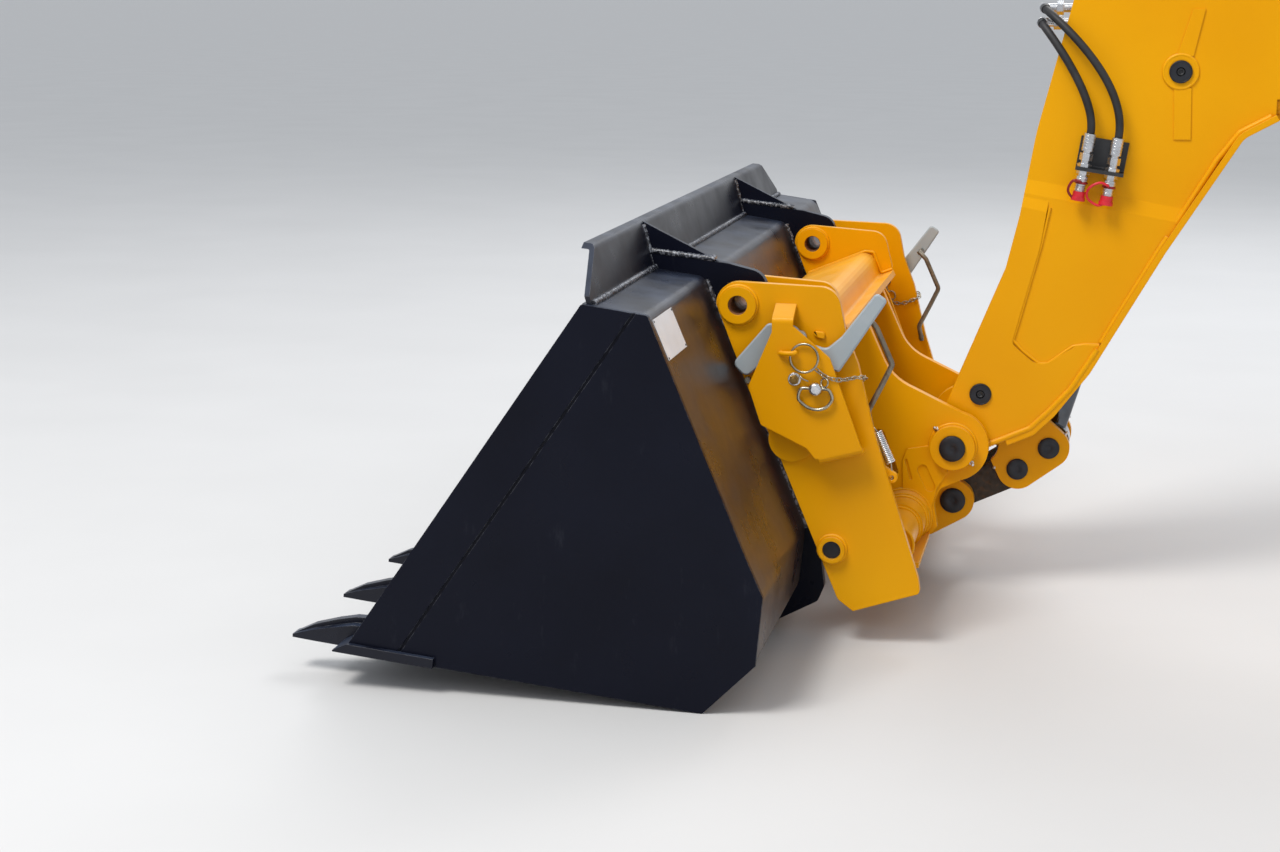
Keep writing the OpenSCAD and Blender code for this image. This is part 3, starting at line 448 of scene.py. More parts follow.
class Piece:
    """Small solids gathered in one object that rides on a body."""

    def __init__(self, name, body):
        self.name = name
        self.body = body
        self.mesh = bmesh.new()
        self.finishes = []

    def slot(self, finish):
        """The material slot of a finish, added when it is new."""
        if finish not in self.finishes:
            self.finishes.append(finish)
        return self.finishes.index(finish)

    def skin(self, rings, finish, closed=False, smooth=True):
        """Faces between rings of points; the ends are capped unless the run is closed."""
        slot = self.slot(finish)
        rows = [[self.mesh.verts.new(point) for point in ring] for ring in rings]
        spans = list(zip(rows, rows[1:]))
        if closed:
            spans.append((rows[-1], rows[0]))
        faces = []
        for low, high in spans:
            for k in range(len(low)):
                after = (k + 1) % len(low)
                faces.append(self.mesh.faces.new((low[k], low[after], high[after], high[k])))
        for face in faces:
            face.smooth = smooth
        if not closed:
            faces.append(self.mesh.faces.new(rows[0][::-1]))
            faces.append(self.mesh.faces.new(rows[-1]))
        for face in faces:
            face.material_index = slot

    def tube(self, path, radius, finish, sides=12, closed=False):
        """A round bar swept along points, its radius in millimetres."""
        count = len(path)
        rings = []
        across = None
        for k, point in enumerate(path):
            before = path[k - 1] if k or closed else point
            after = path[(k + 1) % count] if k < count - 1 or closed else point
            ahead = (after - before).normalized()
            if across is None:
                across = basis(ahead)[0]
            across = (across - ahead * across.dot(ahead)).normalized()
            other = ahead.cross(across)
            rings.append([point + spoke(across, other, turn) * radius * MM for turn in turns(sides)])
        self.skin(rings, finish, closed)

    def lathe(self, foot, axis, rows, finish, sides=32, phase=0.0, smooth=True, closed=False):
        """A turned body: rows of (distance along the axis, radius) in millimetres; a sleeve if closed."""
        axis = Vector(axis).normalized()
        first, second = basis(axis)
        rings = []
        for distance, radius in rows:
            centre = foot + axis * distance * MM
            rings.append([centre + spoke(first, second, turn) * radius * MM for turn in turns(sides, phase)])
        self.skin(rings, finish, closed, smooth)

    def slab(self, outline, depth, finish):
        """A flat piece: the outline's points, thickened along depth."""
        depth = Vector(depth) * MM
        self.skin([outline, [point + depth for point in outline]], finish, smooth=False)

    def plate(self, outline, depth, finish, ease):
        """A flat piece whose edges are eased: the outline's points, thickened along depth."""
        depth = Vector(depth) * MM
        lift = depth.normalized() * ease * MM
        if facing_side(outline).dot(depth) < 0:
            outline = outline[::-1]
        inner = []
        for k, point in enumerate(outline):
            before = (point - outline[k - 1]).normalized()
            after = (outline[(k + 1) % len(outline)] - point).normalized()
            outward = (before + after).normalized().cross(depth).normalized()
            inner.append(point - outward * ease * MM)
        low, high = [point + lift for point in outline], [point + depth - lift for point in outline]
        self.skin([inner, low, high, [point + depth for point in inner]], finish, smooth=False)

    def loose(self):
        """The finished object, not yet riding on anything."""
        bmesh.ops.recalc_face_normals(self.mesh, faces=self.mesh.faces)
        data = bpy.data.meshes.new(self.name)
        self.mesh.to_mesh(data)
        self.mesh.free()
        for finish in self.finishes:
            data.materials.append(FINISHES[finish])
        obj = bpy.data.objects.new(self.name, data)
        bpy.context.scene.collection.objects.link(obj)
        return obj

    def done(self):
        """The finished object, riding on its body."""
        obj = self.loose()
        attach(obj, self.body)
        return obj


# Geometry Nodes: the two things that repeat, ripples of a weld and links of a chain
def group(name, inputs):
    """A tree with named inputs: itself, their identifiers, its given sockets and its result node."""
    tree = bpy.data.node_groups.new(name, "GeometryNodeTree")
    tree.interface.new_socket("Geometry", in_out="INPUT", socket_type="NodeSocketGeometry")
    sockets = {}
    for label, kind in inputs.items():
        socket = tree.interface.new_socket(label, in_out="INPUT", socket_type="NodeSocket" + kind)
        sockets[label] = socket.identifier
    tree.interface.new_socket("Geometry", in_out="OUTPUT", socket_type="NodeSocketGeometry")
    return tree, sockets, tree.nodes.new("NodeGroupInput").outputs, tree.nodes.new("NodeGroupOutput")


def spaced_points(tree, given, spacing):
    """The given runs cut into even steps."""
    node = add(tree, "GeometryNodeResampleCurve", {"mode": "LENGTH"}, Curve=given["Geometry"],
               Length=given[spacing])
    return node.outputs["Curve"]


def end_group(tree, geometry, given, result):
    """Real geometry in the piece's own finish, as the tree's result."""
    plain = add(tree, "GeometryNodeRealizeInstances", Geometry=geometry)
    painted = add(tree, "GeometryNodeSetMaterial", Geometry=plain.outputs["Geometry"],
                  Material=given["Finish"])
    tree.links.new(painted.outputs["Geometry"], result.inputs["Geometry"])


BEAD_CLOUDS = 90.0
BEAD_SIDES = 7


def bead_group():
    """A bead swept along each run: wider and narrower by turns, and a little uneven."""
    tree, sockets, given, result = group("weld_bead", {
        "Step": "Float", "Radius": "Float", "Ripple": "Float", "Seed": "Float", "Finish": "Material"})
    number = tree.nodes.new("GeometryNodeInputIndex")
    parity = arithmetic(tree, "MODULO", number.outputs["Index"], 2.0)
    spot = tree.nodes.new("GeometryNodeInputPosition")
    cloud = add(tree, "ShaderNodeTexNoise", {"noise_dimensions": "4D"}, Vector=spot.outputs["Position"],
                W=given["Seed"], Scale=BEAD_CLOUDS, Detail=2.0)
    centred = arithmetic(tree, "SUBTRACT", arithmetic(tree, "ADD", parity, cloud.outputs["Fac"]), 1.0)
    swell = arithmetic(tree, "MULTIPLY_ADD", centred, given["Ripple"], 1.0)
    size = arithmetic(tree, "MULTIPLY", swell, given["Radius"])
    profile = add(tree, "GeometryNodeCurvePrimitiveCircle", Resolution=BEAD_SIDES, Radius=1.0)
    swept = add(tree, "GeometryNodeCurveToMesh", Curve=spaced_points(tree, given, "Step"),
                Profile_Curve=profile.outputs["Curve"], Scale=size, Fill_Caps=True)
    rounded = add(tree, "GeometryNodeSetShadeSmooth", Geometry=swept.outputs["Mesh"])
    end_group(tree, rounded.outputs["Geometry"], given, result)
    return tree, sockets


def chain_group():
    """A link at every step along each run, each turned about the run against the one before."""
    tree, sockets, given, result = group("chain", {
        "Pitch": "Float", "Twist": "Float", "Seed": "Float", "Link": "Object", "Finish": "Material"})
    shape = add(tree, "GeometryNodeObjectInfo", Object=given["Link"])
    along = tree.nodes.new("GeometryNodeInputTangent")
    aimed = add(tree, "FunctionNodeAlignRotationToVector", {"axis": "X"}, Vector=along.outputs["Tangent"])
    number = tree.nodes.new("GeometryNodeInputIndex")
    roll = arithmetic(tree, "MULTIPLY_ADD", number.outputs["Index"], given["Twist"], given["Seed"])
    rolled = add(tree, "FunctionNodeAxisAngleToRotation", Axis=(1.0, 0.0, 0.0), Angle=roll)
    both = add(tree, "FunctionNodeRotateRotation", {"rotation_space": "LOCAL"},
               Rotation=aimed.outputs["Rotation"], Rotate_By=rolled.outputs["Rotation"])
    placed = add(tree, "GeometryNodeInstanceOnPoints", Points=spaced_points(tree, given, "Pitch"),
                 Instance=shape.outputs["Geometry"], Rotation=both.outputs["Rotation"])
    end_group(tree, placed.outputs["Instances"], given, result)
    return tree, sockets


def grown(name, body, runs, grower, values):
    """Runs, each (points, closed), turned by a node group into one plain mesh that rides on a body."""
    tree, sockets = grower
    curve = bpy.data.curves.new(name + "_line", "CURVE")
    curve.dimensions = "3D"
    for points, closed in runs:
        spline = curve.splines.new("POLY")
        spline.points.add(len(points) - 1)
        for spot, point in zip(spline.points, points):
            spot.co = (*point, 1.0)
        spline.use_cyclic_u = closed
    source = bpy.data.objects.new(name + "_line", curve)
    bpy.context.scene.collection.objects.link(source)
    modifier = source.modifiers.new("grow", "NODES")
    modifier.node_group = tree
    for label, value in values.items():
        modifier[sockets[label]] = value
    graph = bpy.context.evaluated_depsgraph_get()
    data = bpy.data.meshes.new_from_object(source.evaluated_get(graph), preserve_all_data_layers=True,
                                           depsgraph=graph)
    source.modifiers.clear()
    bpy.data.objects.remove(source)
    data.name = name
    obj = bpy.data.objects.new(name, data)
    bpy.context.scene.collection.objects.link(obj)
    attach(obj, body)


BEAD = bead_group()
CHAIN = chain_group()

# Levels across the part, in millimetres from its middle
CHEEK, LOWER, DOUBLER = 162, 170, 176
ARM_IN, ARM_OUT = 190, 215
INNER_FACE, OUTER_FACE = 494.5, 647.5
COVER_FACE = OUTER_FACE + 52

# Pins and tubes, (forward, up)
PIVOT_AT, HOOK_AT, LOCK_AT, CROSS_AT, EAR_AT = (0, 0), (434, 381), (223, -146), (108, -170), (4, -154)
LEVER_AT, ANCHOR_AT = (-57, 119), (-472, 862)


# Welds
def round_beads(circles, side):
    """Closed runs from (centre, radius, level) rows."""
    return [(circle_run(centre, radius, side * level), True) for centre, radius, level in circles]


def open_bead(rows, y):
    """An open run from (forward, up) rows."""
    return plane_run(rows, y), False


CARRIAGE_CIRCLES = [
    (PIVOT_AT, 53, ARM_OUT + 1), (CROSS_AT, 63, ARM_OUT + 1), (CROSS_AT, 55, ARM_OUT + 41),
    (CROSS_AT, 46, ARM_OUT + 116), (CROSS_AT, 46, INNER_FACE - 1), (HOOK_AT, 41, OUTER_FACE + 1),
    (HOOK_AT, 41, INNER_FACE - 1), (LOCK_AT, 30, OUTER_FACE + 1), (CROSS_AT, 46, 84), (CROSS_AT, 46, 111),
]
ARM_TO_BEAM = [(213, 302), (262, 282), (318, 261)]
PLATE_TO_BEAM = [(216, 305), (258, 287), (270, 305), (285, 351), (300, 346), (436, 290)]
PLATE_OVER_BEAM = [(222, 319), (250, 308), (272, 362), (294, 364), (444, 302)]


def carriage_beads():
    """Round the carriage's tubes and pins, and where its arms and plates meet the top beam."""
    runs = []
    for side in SIDES:
        runs += round_beads(CARRIAGE_CIRCLES, side)
        for level in (ARM_OUT + 1, ARM_IN - 1):
            runs.append(open_bead(ARM_TO_BEAM, side * level))
        for rows in (PLATE_TO_BEAM, PLATE_OVER_BEAM):
            runs.append(open_bead(rows, side * (INNER_FACE - 1)))
    return runs


DOUBLER_FOOT = [(-199, 555), (-182, 467), (-140, 297), (-127, 248), (-150, 224), (-188, 195), (-208, 196),
                (-262, 238), (-290, 243), (-322, 243)]
TUBE_END = [(-686, 803), (-710, 803), (-771, 863), (-771, 1067), (-711, 1127), (-686, 1127)]
TUBE_LEVEL = 151


def nose_beads():
    """Round the ram's anchor, along the lower side plates, and where the nose meets the box tube."""
    runs = []
    for side in SIDES:
        runs += round_beads([(ANCHOR_AT, 37, CHEEK + 1)], side)
        runs.append(open_bead(DOUBLER_FOOT, side * (LOWER + 1)))
        runs.append(open_bead(TUBE_END, side * TUBE_LEVEL))
    return runs


# Seam of the lower sheet with each layer of the nose's side: (forward, up) rows, level
FLANGE_SEAMS = [
    ([(-672, 766), (-606, 730), (-560, 668), (-478, 524)], CHEEK),
    ([(-462, 495), (-446, 468), (-344, 283), (-326, 248)], LOWER),
    ([(-318, 234), (-292, 190), (-262, 140), (-217, 88), (-174, 44), (-117, 18), (-76, 0)], DOUBLER),
]


def flange_beads():
    """Along the seam of the nose's lower sheet."""
    return [open_bead(rows, side * (level + 2)) for side in SIDES for rows, level in FLANGE_SEAMS]


# The hook plates' seams with the bucket: (forward, up) rows, levels on their two faces
HOOK_PLATE_SEAMS = [
    ([(288, -118), (321, -40), (360, 52), (400, 148), (460, 290), (516, 424)], (583, 559)),
    ([(634, 452), (645, 490), (658, 540)], (578, 564)),
    ([(638, 484), (566, 476), (498, 469)], (580, 562)),
]

# The spill guard's foot, (forward, up), and the levels that its seam passes
GUARD_SEAM, GUARD_LEVELS = (629, 449), (-1146, -400, 400, 1146)

# The bucket's floor rises from its heel to its teeth. Places on it are (along it, above it)
HEEL = Vector((409, -358))
FLOOR_SLOPE = math.radians(5.9)
EDGE_SEAM, EDGE_LEVELS = (553, 11), (-1140, 0, 1140)
TEETH, TOOTH_PITCH = 8, 302
# Shank of a tooth, (along the floor, above it, off the tooth's middle)
SHANK_SIDE = [(662, 20, 27), (735, 21, 34)]
SHANK_END = [(654, 21, -24), (655, 21, 24)]


def on_floor(ahead, rise, y):
    """A place on the bucket's floor, in millimetres along it from the heel and above it."""
    along = Vector((math.cos(FLOOR_SLOPE), math.sin(FLOOR_SLOPE)))
    spot = HEEL + along * ahead + Vector((-along.y, along.x)) * rise
    return at(spot.x, spot.y, y)


def tooth_beads(middle):
    """Along both sides of a tooth's shank and across its end."""
    sides = [[(ahead, rise, edge * half) for ahead, rise, half in SHANK_SIDE] for edge in (-1, 1)]
    return [([on_floor(ahead, rise, middle + off) for ahead, rise, off in rows], False)
            for rows in (*sides, SHANK_END)]


def bucket_beads():
    """Along the hook plates, the spill guard, the cutting edge and the teeth."""
    runs = []
    for side in SIDES:
        for rows, levels in HOOK_PLATE_SEAMS:
            runs += [open_bead(rows, side * level) for level in levels]
    runs.append(([at(*GUARD_SEAM, y) for y in GUARD_LEVELS], False))
    runs.append(([on_floor(*EDGE_SEAM, y) for y in EDGE_LEVELS], False))
    for index in range(TEETH):
        runs += tooth_beads((index - (TEETH - 1) / 2) * TOOTH_PITCH)
    return runs


RIPPLE_STEP, RIPPLE_DEPTH = 3.2, 0.16


def welds():
    """Every bead, gathered by body and size."""
    # name, body, runs, radius, finish, seed
    rows = [
        ("carriage_welds", "carriage", carriage_beads(), 4.2, "yellow_paint", 11),
        ("nose_welds", "boom", nose_beads(), 4.0, "yellow_paint", 23),
        ("flange_welds", "boom", flange_beads(), 7.0, "yellow_paint", 29),
        ("bucket_welds", "carriage", bucket_beads(), 6.4, "bucket_bead", 37),
    ]
    for name, body, runs, radius, finish, seed in rows:
        grown(name, body, runs, BEAD, {
            "Step": RIPPLE_STEP * MM, "Radius": radius * MM, "Ripple": RIPPLE_DEPTH, "Seed": float(seed),
            "Finish": FINISHES[finish]})


# Latch: ring, swivel and chain at each cover. Places are (forward, up, distance out of the cover's face)
COVER_HOOK = [(333, 289, -3), (332, 289, 6), (322, 290, 13), (304, 291, 14), (300, 293, 9)]
SWIVEL_WIRE = [(292, 244, 7), (284, 236, 8), (272, 232, 9)]
PLATE_WIRE = [(242, 240, -77), (247, 247, -77.5), (249, 258, -77), (248, 266, -76)]
CHAIN_PATH = [
    (255, 257, 8), (236, 243, 6), (214, 237, 4), (196, 236, -8), (178, 236, -34), (165, 235, -47),
    (161, 232, -60), (161, 228, -72), (168, 224, -77), (184, 217, -78), (200, 211, -78), (214, 209, -78),
    (228, 212, -78), (238, 219, -77),
]
D_RING_OUT = 9
D_RING = [(246, 217), (232, 216), (226, 211), (221, 198), (224, 189), (231, 180), (239, 175), (251, 172),
          (263, 173), (274, 177), (284, 184), (292, 192), (293, 201), (290, 212), (284, 217), (270, 217)]

# Rings of wire: place, axis, radius, points round it
HANGING_RING = ((282, 281, 9), (0.08, 1.0, 0.05), 30, 48)
FIRST_RING = ((238, 230, 9), (0.5, 0.8, 0.2), 9.5, 20)
LAST_RING = ((236, 230, -77), (0.25, 1.0, 0.1), 12, 24)

# Turned pieces of the latch: (forward, up), then rows of (distance from the foot, radius)
SWIVEL_PIN_AT, SWIVEL_AT, COVER_BOLT_AT, PLATE_SCREW_AT = (303, 234), (257, 216), (411, 219), (249, 269)
WASHER = [(0, 14), (3, 14), (3.4, 13)]
BRASS_NUT = [(0, 11), (8, 11), (9, 9.6)]
BRASS_END = [(0, 6), (6, 6), (7, 5)]
SWIVEL_HEAD = [(0, 9), (3, 13), (9, 14.5), (15, 12.5), (18, 8)]
COVER_BOLT = [(0, 8), (5, 8), (6, 6.5)]
PLATE_SCREW = [(0, 11), (2, 11), (2, 8), (6, 8), (7, 6.5), (4, 5)]
COVER_HOOK_BAR, HANGING_WIRE, D_RING_WIRE = 5.5, 2.6, 3.6
SWIVEL_BAR, FIRST_WIRE, STOUT_WIRE = 1.6, 1.8, 1.9


def off_cover(side, forward, up, out):
    """A place off the face of one side's latch cover."""
    return at(forward, up, side * (COVER_FACE + out))


def cover_run(side, rows):
    """Rows of (forward, up, out) off the face of one side's latch cover."""
    return [off_cover(side, *row) for row in rows]


def wire_ring(piece, side, ring, wire):
    """A closed ring of wire, beside one side's latch cover."""
    place, axis, radius, points = ring
    piece.tube(ring_run(off_cover(side, *place), axis, radius, points), wire, "wire", sides=8, closed=True)


def hanging_ring(piece, side):
    """A bent hook on the cover and the wire ring that hangs in it."""
    piece.tube(smooth_run(cover_run(side, COVER_HOOK)), COVER_HOOK_BAR, "yellow_paint")
    wire_ring(piece, side, HANGING_RING, HANGING_WIRE)


def swivel(piece, side):
    """Washer, brass nut and swivel head with its D ring and the chain's first ring."""
    axis = (0, side, 0)
    washer_foot, nut_foot, end_foot = (off_cover(side, *SWIVEL_PIN_AT, out) for out in (-1, 2, 10))
    piece.lathe(washer_foot, axis, WASHER, "zinc", sides=28)
    piece.lathe(nut_foot, axis, BRASS_NUT, "brass", sides=6, phase=0.3, smooth=False)
    piece.lathe(end_foot, axis, BRASS_END, "brass", sides=16)
    piece.tube(cover_run(side, SWIVEL_WIRE), SWIVEL_BAR, "wire", sides=8)
    piece.lathe(off_cover(side, *SWIVEL_AT, 2), axis, SWIVEL_HEAD, "zinc", sides=24)
    d_ring = [off_cover(side, forward, up, D_RING_OUT) for forward, up in D_RING]
    piece.tube(smooth_run(d_ring, steps=4), D_RING_WIRE, "wire")
    wire_ring(piece, side, FIRST_RING, FIRST_WIRE)


def cover_bolt(piece, side):
    """A bolt's head on the outer plate, ahead of the cover."""
    foot = off_cover(side, *COVER_BOLT_AT, -51)
    piece.lathe(foot, (0, side, 0), COVER_BOLT, "wire", sides=6, smooth=False)


def chain_end(piece, side):
    """Small ring, hook wire and screw that hold the chain's end on the plate's inner face."""
    wire_ring(piece, side, LAST_RING, STOUT_WIRE)
    piece.tube(smooth_run(cover_run(side, PLATE_WIRE), steps=5), STOUT_WIRE, "wire", sides=8)
    foot = off_cover(side, *PLATE_SCREW_AT, -71.8)
    piece.lathe(foot, (0, -side, 0), PLATE_SCREW, "bore_steel", sides=24)


# Spring between the bent rod and its lug, seen on the left side only
SPRING_LEVEL = 620
SPRING_TOP, SPRING_FOOT = (134, 112), (103, 45)
SPRING_ACROSS = Vector((0.91, 0, -0.42))
SPRING_TURNS, SPRING_STEPS, SPRING_RADIUS = 18, 240, 9
SPRING_HOOK = [(103, 45, 0), (101, 30, 1), (98, 12, 2), (102, 9, 2)]
SPRING_TAIL = [(134, 112, 0), (146, 122, -10)]


def spring(piece):
    """A close coil with a hook at its foot and a straight tail at its top."""
    fall = [foot - top for foot, top in zip(SPRING_FOOT, SPRING_TOP)]
    coil = []
    for k in range(SPRING_STEPS + 1):
        share = k / SPRING_STEPS
        turn = math.tau * SPRING_TURNS * k / SPRING_STEPS
        middle = at(SPRING_TOP[0] + fall[0] * share, SPRING_TOP[1] + fall[1] * share, SPRING_LEVEL)
        coil.append(middle + spoke(SPRING_ACROSS, Vector((0, 1, 0)), turn) * SPRING_RADIUS * MM)
    hook, tail = ([at(forward, up, SPRING_LEVEL + y) for forward, up, y in rows]
                  for rows in (SPRING_HOOK, SPRING_TAIL))
    piece.tube(coil, STOUT_WIRE, "zinc", sides=6)
    piece.tube(smooth_run(hook, steps=5), STOUT_WIRE, "wire", sides=6)
    piece.tube(tail, STOUT_WIRE, "wire", sides=6)


def latch_hardware():
    """The latch's small pieces: hooks, rings, swivels, bolts, screws and the spring."""
    piece = Piece("latch_hardware", "carriage")
    for side in SIDES:
        hanging_ring(piece, side)
        swivel(piece, side)
        cover_bolt(piece, side)
        chain_end(piece, side)
    spring(piece)
    piece.done()


LINK_HALF, LINK_BEND, LINK_WIRE, LINK_POINTS = 3.2, 4.0, 1.3, 16
LINK_PITCH = 10.4


def chain_link():
    """One oval wire link, bent in the plane of its length."""
    link = Piece("link_shape", "carriage")
    oval = []
    for turn in turns(LINK_POINTS):
        half = math.copysign(LINK_HALF, math.cos(turn))
        oval.append(Vector((half + LINK_BEND * math.cos(turn), LINK_BEND * math.sin(turn), 0)) * MM)
    link.tube(oval, LINK_WIRE, "wire", sides=6, closed=True)
    return link.loose()


def latch_chains():
    """A chain at each side, from the swivel over the plate's rear edge to the small ring."""
    shape = chain_link()
    runs = [(smooth_run(cover_run(side, CHAIN_PATH), 6), False) for side in SIDES]
    grown("latch_chains", "carriage", runs, CHAIN, {
        "Pitch": LINK_PITCH * MM, "Twist": math.pi / 2, "Seed": 0.4, "Link": shape,
        "Finish": FINISHES["wire"]})
    bpy.data.objects.remove(shape)


# Latch lever, (forward, up, corner radius): two blades that meet at its pivot
LEVER_ROWS = [
    (137, 419, 9), (113, 403, 9), (213, 246, 6), (265, 268, 30), (322, 306, 30), (412, 228, 15),
    (442, 257, 15), (366, 347, 12), (306, 343, 16), (278, 307, 10), (240, 296, 18), (208, 324, 14),
]
LEVER_OUT, LEVER_THICK, LEVER_EASE = 15, 10, 3.4
LEVER_PIVOT = (300, 316)
# The lever's pivot under and over its blades: level over the plate, rows of (distance, radius)
LEVER_BOSSES = [(0.2, [(0, 15), (14.6, 15)]), (25.2, [(0, 14), (18, 14)])]
STOP_ROWS = [(276, 324, 6), (266, 331, 8), (246, 329, 6), (246, 312, 5), (262, 316, 8)]
STOP_THICK, STOP_EASE = 7, 2


def latch_levers():
    """Each latch lever again with eased edges, and its pivot's boss."""
    for side, node in zip(SIDES, ("latch_lever_left", "latch_lever_right")):
        lever = Piece("eased_" + node, "carriage")
        outline = plane_run(filleted(LEVER_ROWS), side * (OUTER_FACE + LEVER_OUT))
        lever.plate(outline, (0, side * LEVER_THICK, 0), "silver_paint", LEVER_EASE)
        for level, rows in LEVER_BOSSES:
            lever.lathe(at(*LEVER_PIVOT, side * (OUTER_FACE + level)), (0, side, 0), rows, "silver_paint")
        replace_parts(lever.done(), node)


def lever_stops():
    """The stop on the plate behind each lever's pivot."""
    stops = Piece("lever_stops", "carriage")
    for side in SIDES:
        outline = plane_run(filleted(STOP_ROWS), side * (OUTER_FACE - 0.2))
        stops.plate(outline, (0, side * STOP_THICK, 0), "yellow_paint", STOP_EASE)
    stops.done()


# Latch rod, (forward, up, bend radius): a bent bar from the lever's front blade down to the lock pin
ROD_ROWS = [(164, 356, 0), (143, 335, 18), (107, 256, 14), (128, 211, 26), (157, 152, 18), (148, 113, 0)]
ROD_LEVEL, ROD_RADIUS = 600, 6
# Its cross ends: forward, up, level that they reach
ROD_CROSSES = [(160, 350, OUTER_FACE + 15), (151, 120, OUTER_FACE - 20)]


def latch_rods():
    """Each latch rod again as a round bar, with its two cross ends."""
    bends = filleted(ROD_ROWS)[CORNER_POINTS:-CORNER_POINTS]
    path = [ROD_ROWS[0][:2], *bends, ROD_ROWS[-1][:2]]
    for side, node in zip(SIDES, ("latch_rod_left", "latch_rod_right")):
        rod = Piece("round_" + node, "carriage")
        rod.tube(plane_run(path, side * ROD_LEVEL), ROD_RADIUS, "dull_steel", sides=16)
        for forward, up, level in ROD_CROSSES:
            cross = [at(forward, up, side * ROD_LEVEL), at(forward, up, side * level)]
            rod.tube(cross, ROD_RADIUS, "dull_steel", sides=16)
        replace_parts(rod.done(), node)


# Pins
NIPPLE_NUT = [(0, 6), (4, 6)]
NIPPLE_HEAD_OUT = 3.5
NIPPLE_HEAD = [(0, 3.2), (4, 3.2), (5, 2.2), (7, 4), (9.5, 4), (11, 2)]
HOOK_SLEEVE = [(0, 20.8), (168, 20.8), (168, 19.6), (0, 19.6)]
SOCKET_SCREW = [(0, 8.8), (8, 8.8), (9, 8), (9, 5), (5, 4.4)]
# Body, pin, level, radius
PIN_ENDS = [("boom", PIVOT_AT, 245, 30), ("carriage", EAR_AT, 114, 30),
            ("lever", (-145, -70), 114, 25), ("lever", (-216, -16), 114, 25)]
# Pin, level
SCREW_ENDS = [(LEVER_AT, DOUBLER + 5), (ANCHOR_AT, CHEEK + 9)]
# Body, forward, up, level, forward and upward lean of the nipple, 0 or 1 for its lean to the side
NIPPLES = [("carriage", 38, 39, ARM_OUT, 0.5, 0.5, 1), ("carriage", -43, -35, ARM_OUT, -0.4, -0.4, 1),
           ("lever", -249, 13, 98, -0.75, 0.65, 0), ("lever", -94, -66, 98, 0.3, -0.3, 1)]


def grease_nipple(piece, foot, axis):
    """A hexagon with the nipple's necked head in it."""
    axis = Vector(axis).normalized()
    piece.lathe(foot, axis, NIPPLE_NUT, "zinc", sides=6, smooth=False)
    piece.lathe(foot + axis * NIPPLE_HEAD_OUT * MM, axis, NIPPLE_HEAD, "zinc", sides=14)


def pin_end(piece, foot, axis, radius):
    """A machined face with a chamfer and a centre hole."""
    rows = [(0, radius - 0.4), (1.4, radius - 1.8), (1.4, 7), (0.6, 5.8)]
    piece.lathe(foot, axis, rows, "pin_steel", sides=48)


def screw_end(piece, pin, side, level):
    """A socket screw in the pin's recess, with a ring round the face."""
    axis = (0, side, 0)
    piece.lathe(at(*pin, side * (level - 12)), axis, SOCKET_SCREW, "black_metal", sides=24)
    rim = ring_run(at(*pin, side * (level + 0.1)), axis, 23, 48)
    piece.tube(rim, 1.2, "pin_steel", sides=8, closed=True)


def pin_faces():
    """Sleeves of the hook pins, machined ends of the other pins, and the grease nipples."""
    pieces = {body: Piece(body + "_pin_faces", body) for body in ("carriage", "boom", "lever")}
    for side in SIDES:
        axis = (0, side, 0)
        sleeve_foot = at(*HOOK_AT, side * (INNER_FACE - 8))
        pieces["carriage"].lathe(sleeve_foot, axis, HOOK_SLEEVE, "bore_steel", sides=48, closed=True)
        for body, pin, level, radius in PIN_ENDS:
            pin_end(pieces[body], at(*pin, side * (level - 0.2)), axis, radius)
        for pin, level in SCREW_ENDS:
            screw_end(pieces["boom"], pin, side, level)
        for body, forward, up, level, ahead, rise, out in NIPPLES:
            grease_nipple(pieces[body], at(forward, up, side * level), (ahead, side * out, rise))
    for piece in pieces.values():
        piece.done()


# Couplings on the nose's cheek, whose bracket leans a little
LEAN = math.radians(8.5)
ALONG = Vector((math.cos(LEAN), 0, math.sin(LEAN)))
UPWARD = Vector((-math.sin(LEAN), 0, math.cos(LEAN)))
BRACKET_AT = (-306, 675)
COUPLINGS = (31, -31)
COUPLING_OUT = 36
# Level along the coupling and radius of its rings
CRIMPS = [(level, 12.9) for level in (13, 20, 27, 34, 41)]
CAP_RINGS = [(-80, 11.4), (-76, 11.4), (-72, 11.4), (-56, 13.4)]
COLLAR = [(0, 13), (1.2, 13), (1.2, 9)]
STRAP_RADIUS = 3.0
# Cap straps, from the cap's ring to its foot: finish, places on the bracket
STRAPS = [
    ("dark_red", [(31, 50, -62), (46, 54, -60), (54, 50, -70), (56, 46, -86), (46, 42, -98), (36, 40, -100)]),
    ("red_plastic", [(-31, 50, -62), (-12, 56, -56), (6, 56, -66), (14, 50, -82), (8, 46, -98),
                     (-14, 42, -108), (-28, 40, -102)]),
]


def on_bracket(along, out, up):
    """A place on the coupling bracket, in millimetres along it, out of the cheek and up it."""
    return at(*BRACKET_AT, CHEEK) + (ALONG * along + UPWARD * up + Vector((0, out, 0))) * MM


def coupling_rings(piece, along):
    """Crimped rings of a sleeve, rings and collar of its dust cap."""
    for rings, wire in ((CRIMPS, 1.0), (CAP_RINGS, 1.1)):
        for level, radius in rings:
            run = ring_run(on_bracket(along, COUPLING_OUT, level), UPWARD, radius, 32)
            piece.tube(run, wire, "zinc", sides=6, closed=True)
    piece.lathe(on_bracket(along, COUPLING_OUT, -22), UPWARD, COLLAR, "zinc")
    strap_ring = ring_run(on_bracket(along, COUPLING_OUT, -64.5), UPWARD, 12.8, 32)
    piece.tube(strap_ring, 2.8, "dark_red", sides=8, closed=True)


# Raised ribs over the anchor boss, (forward, up)
ANCHOR_RIBS = [
    [(-492, 999), (-519, 999), (-498, 896), (-462, 896)],
    [(-459, 826), (-497, 826), (-501, 712), (-464, 712)],
]
RIB_THICK = 3.2
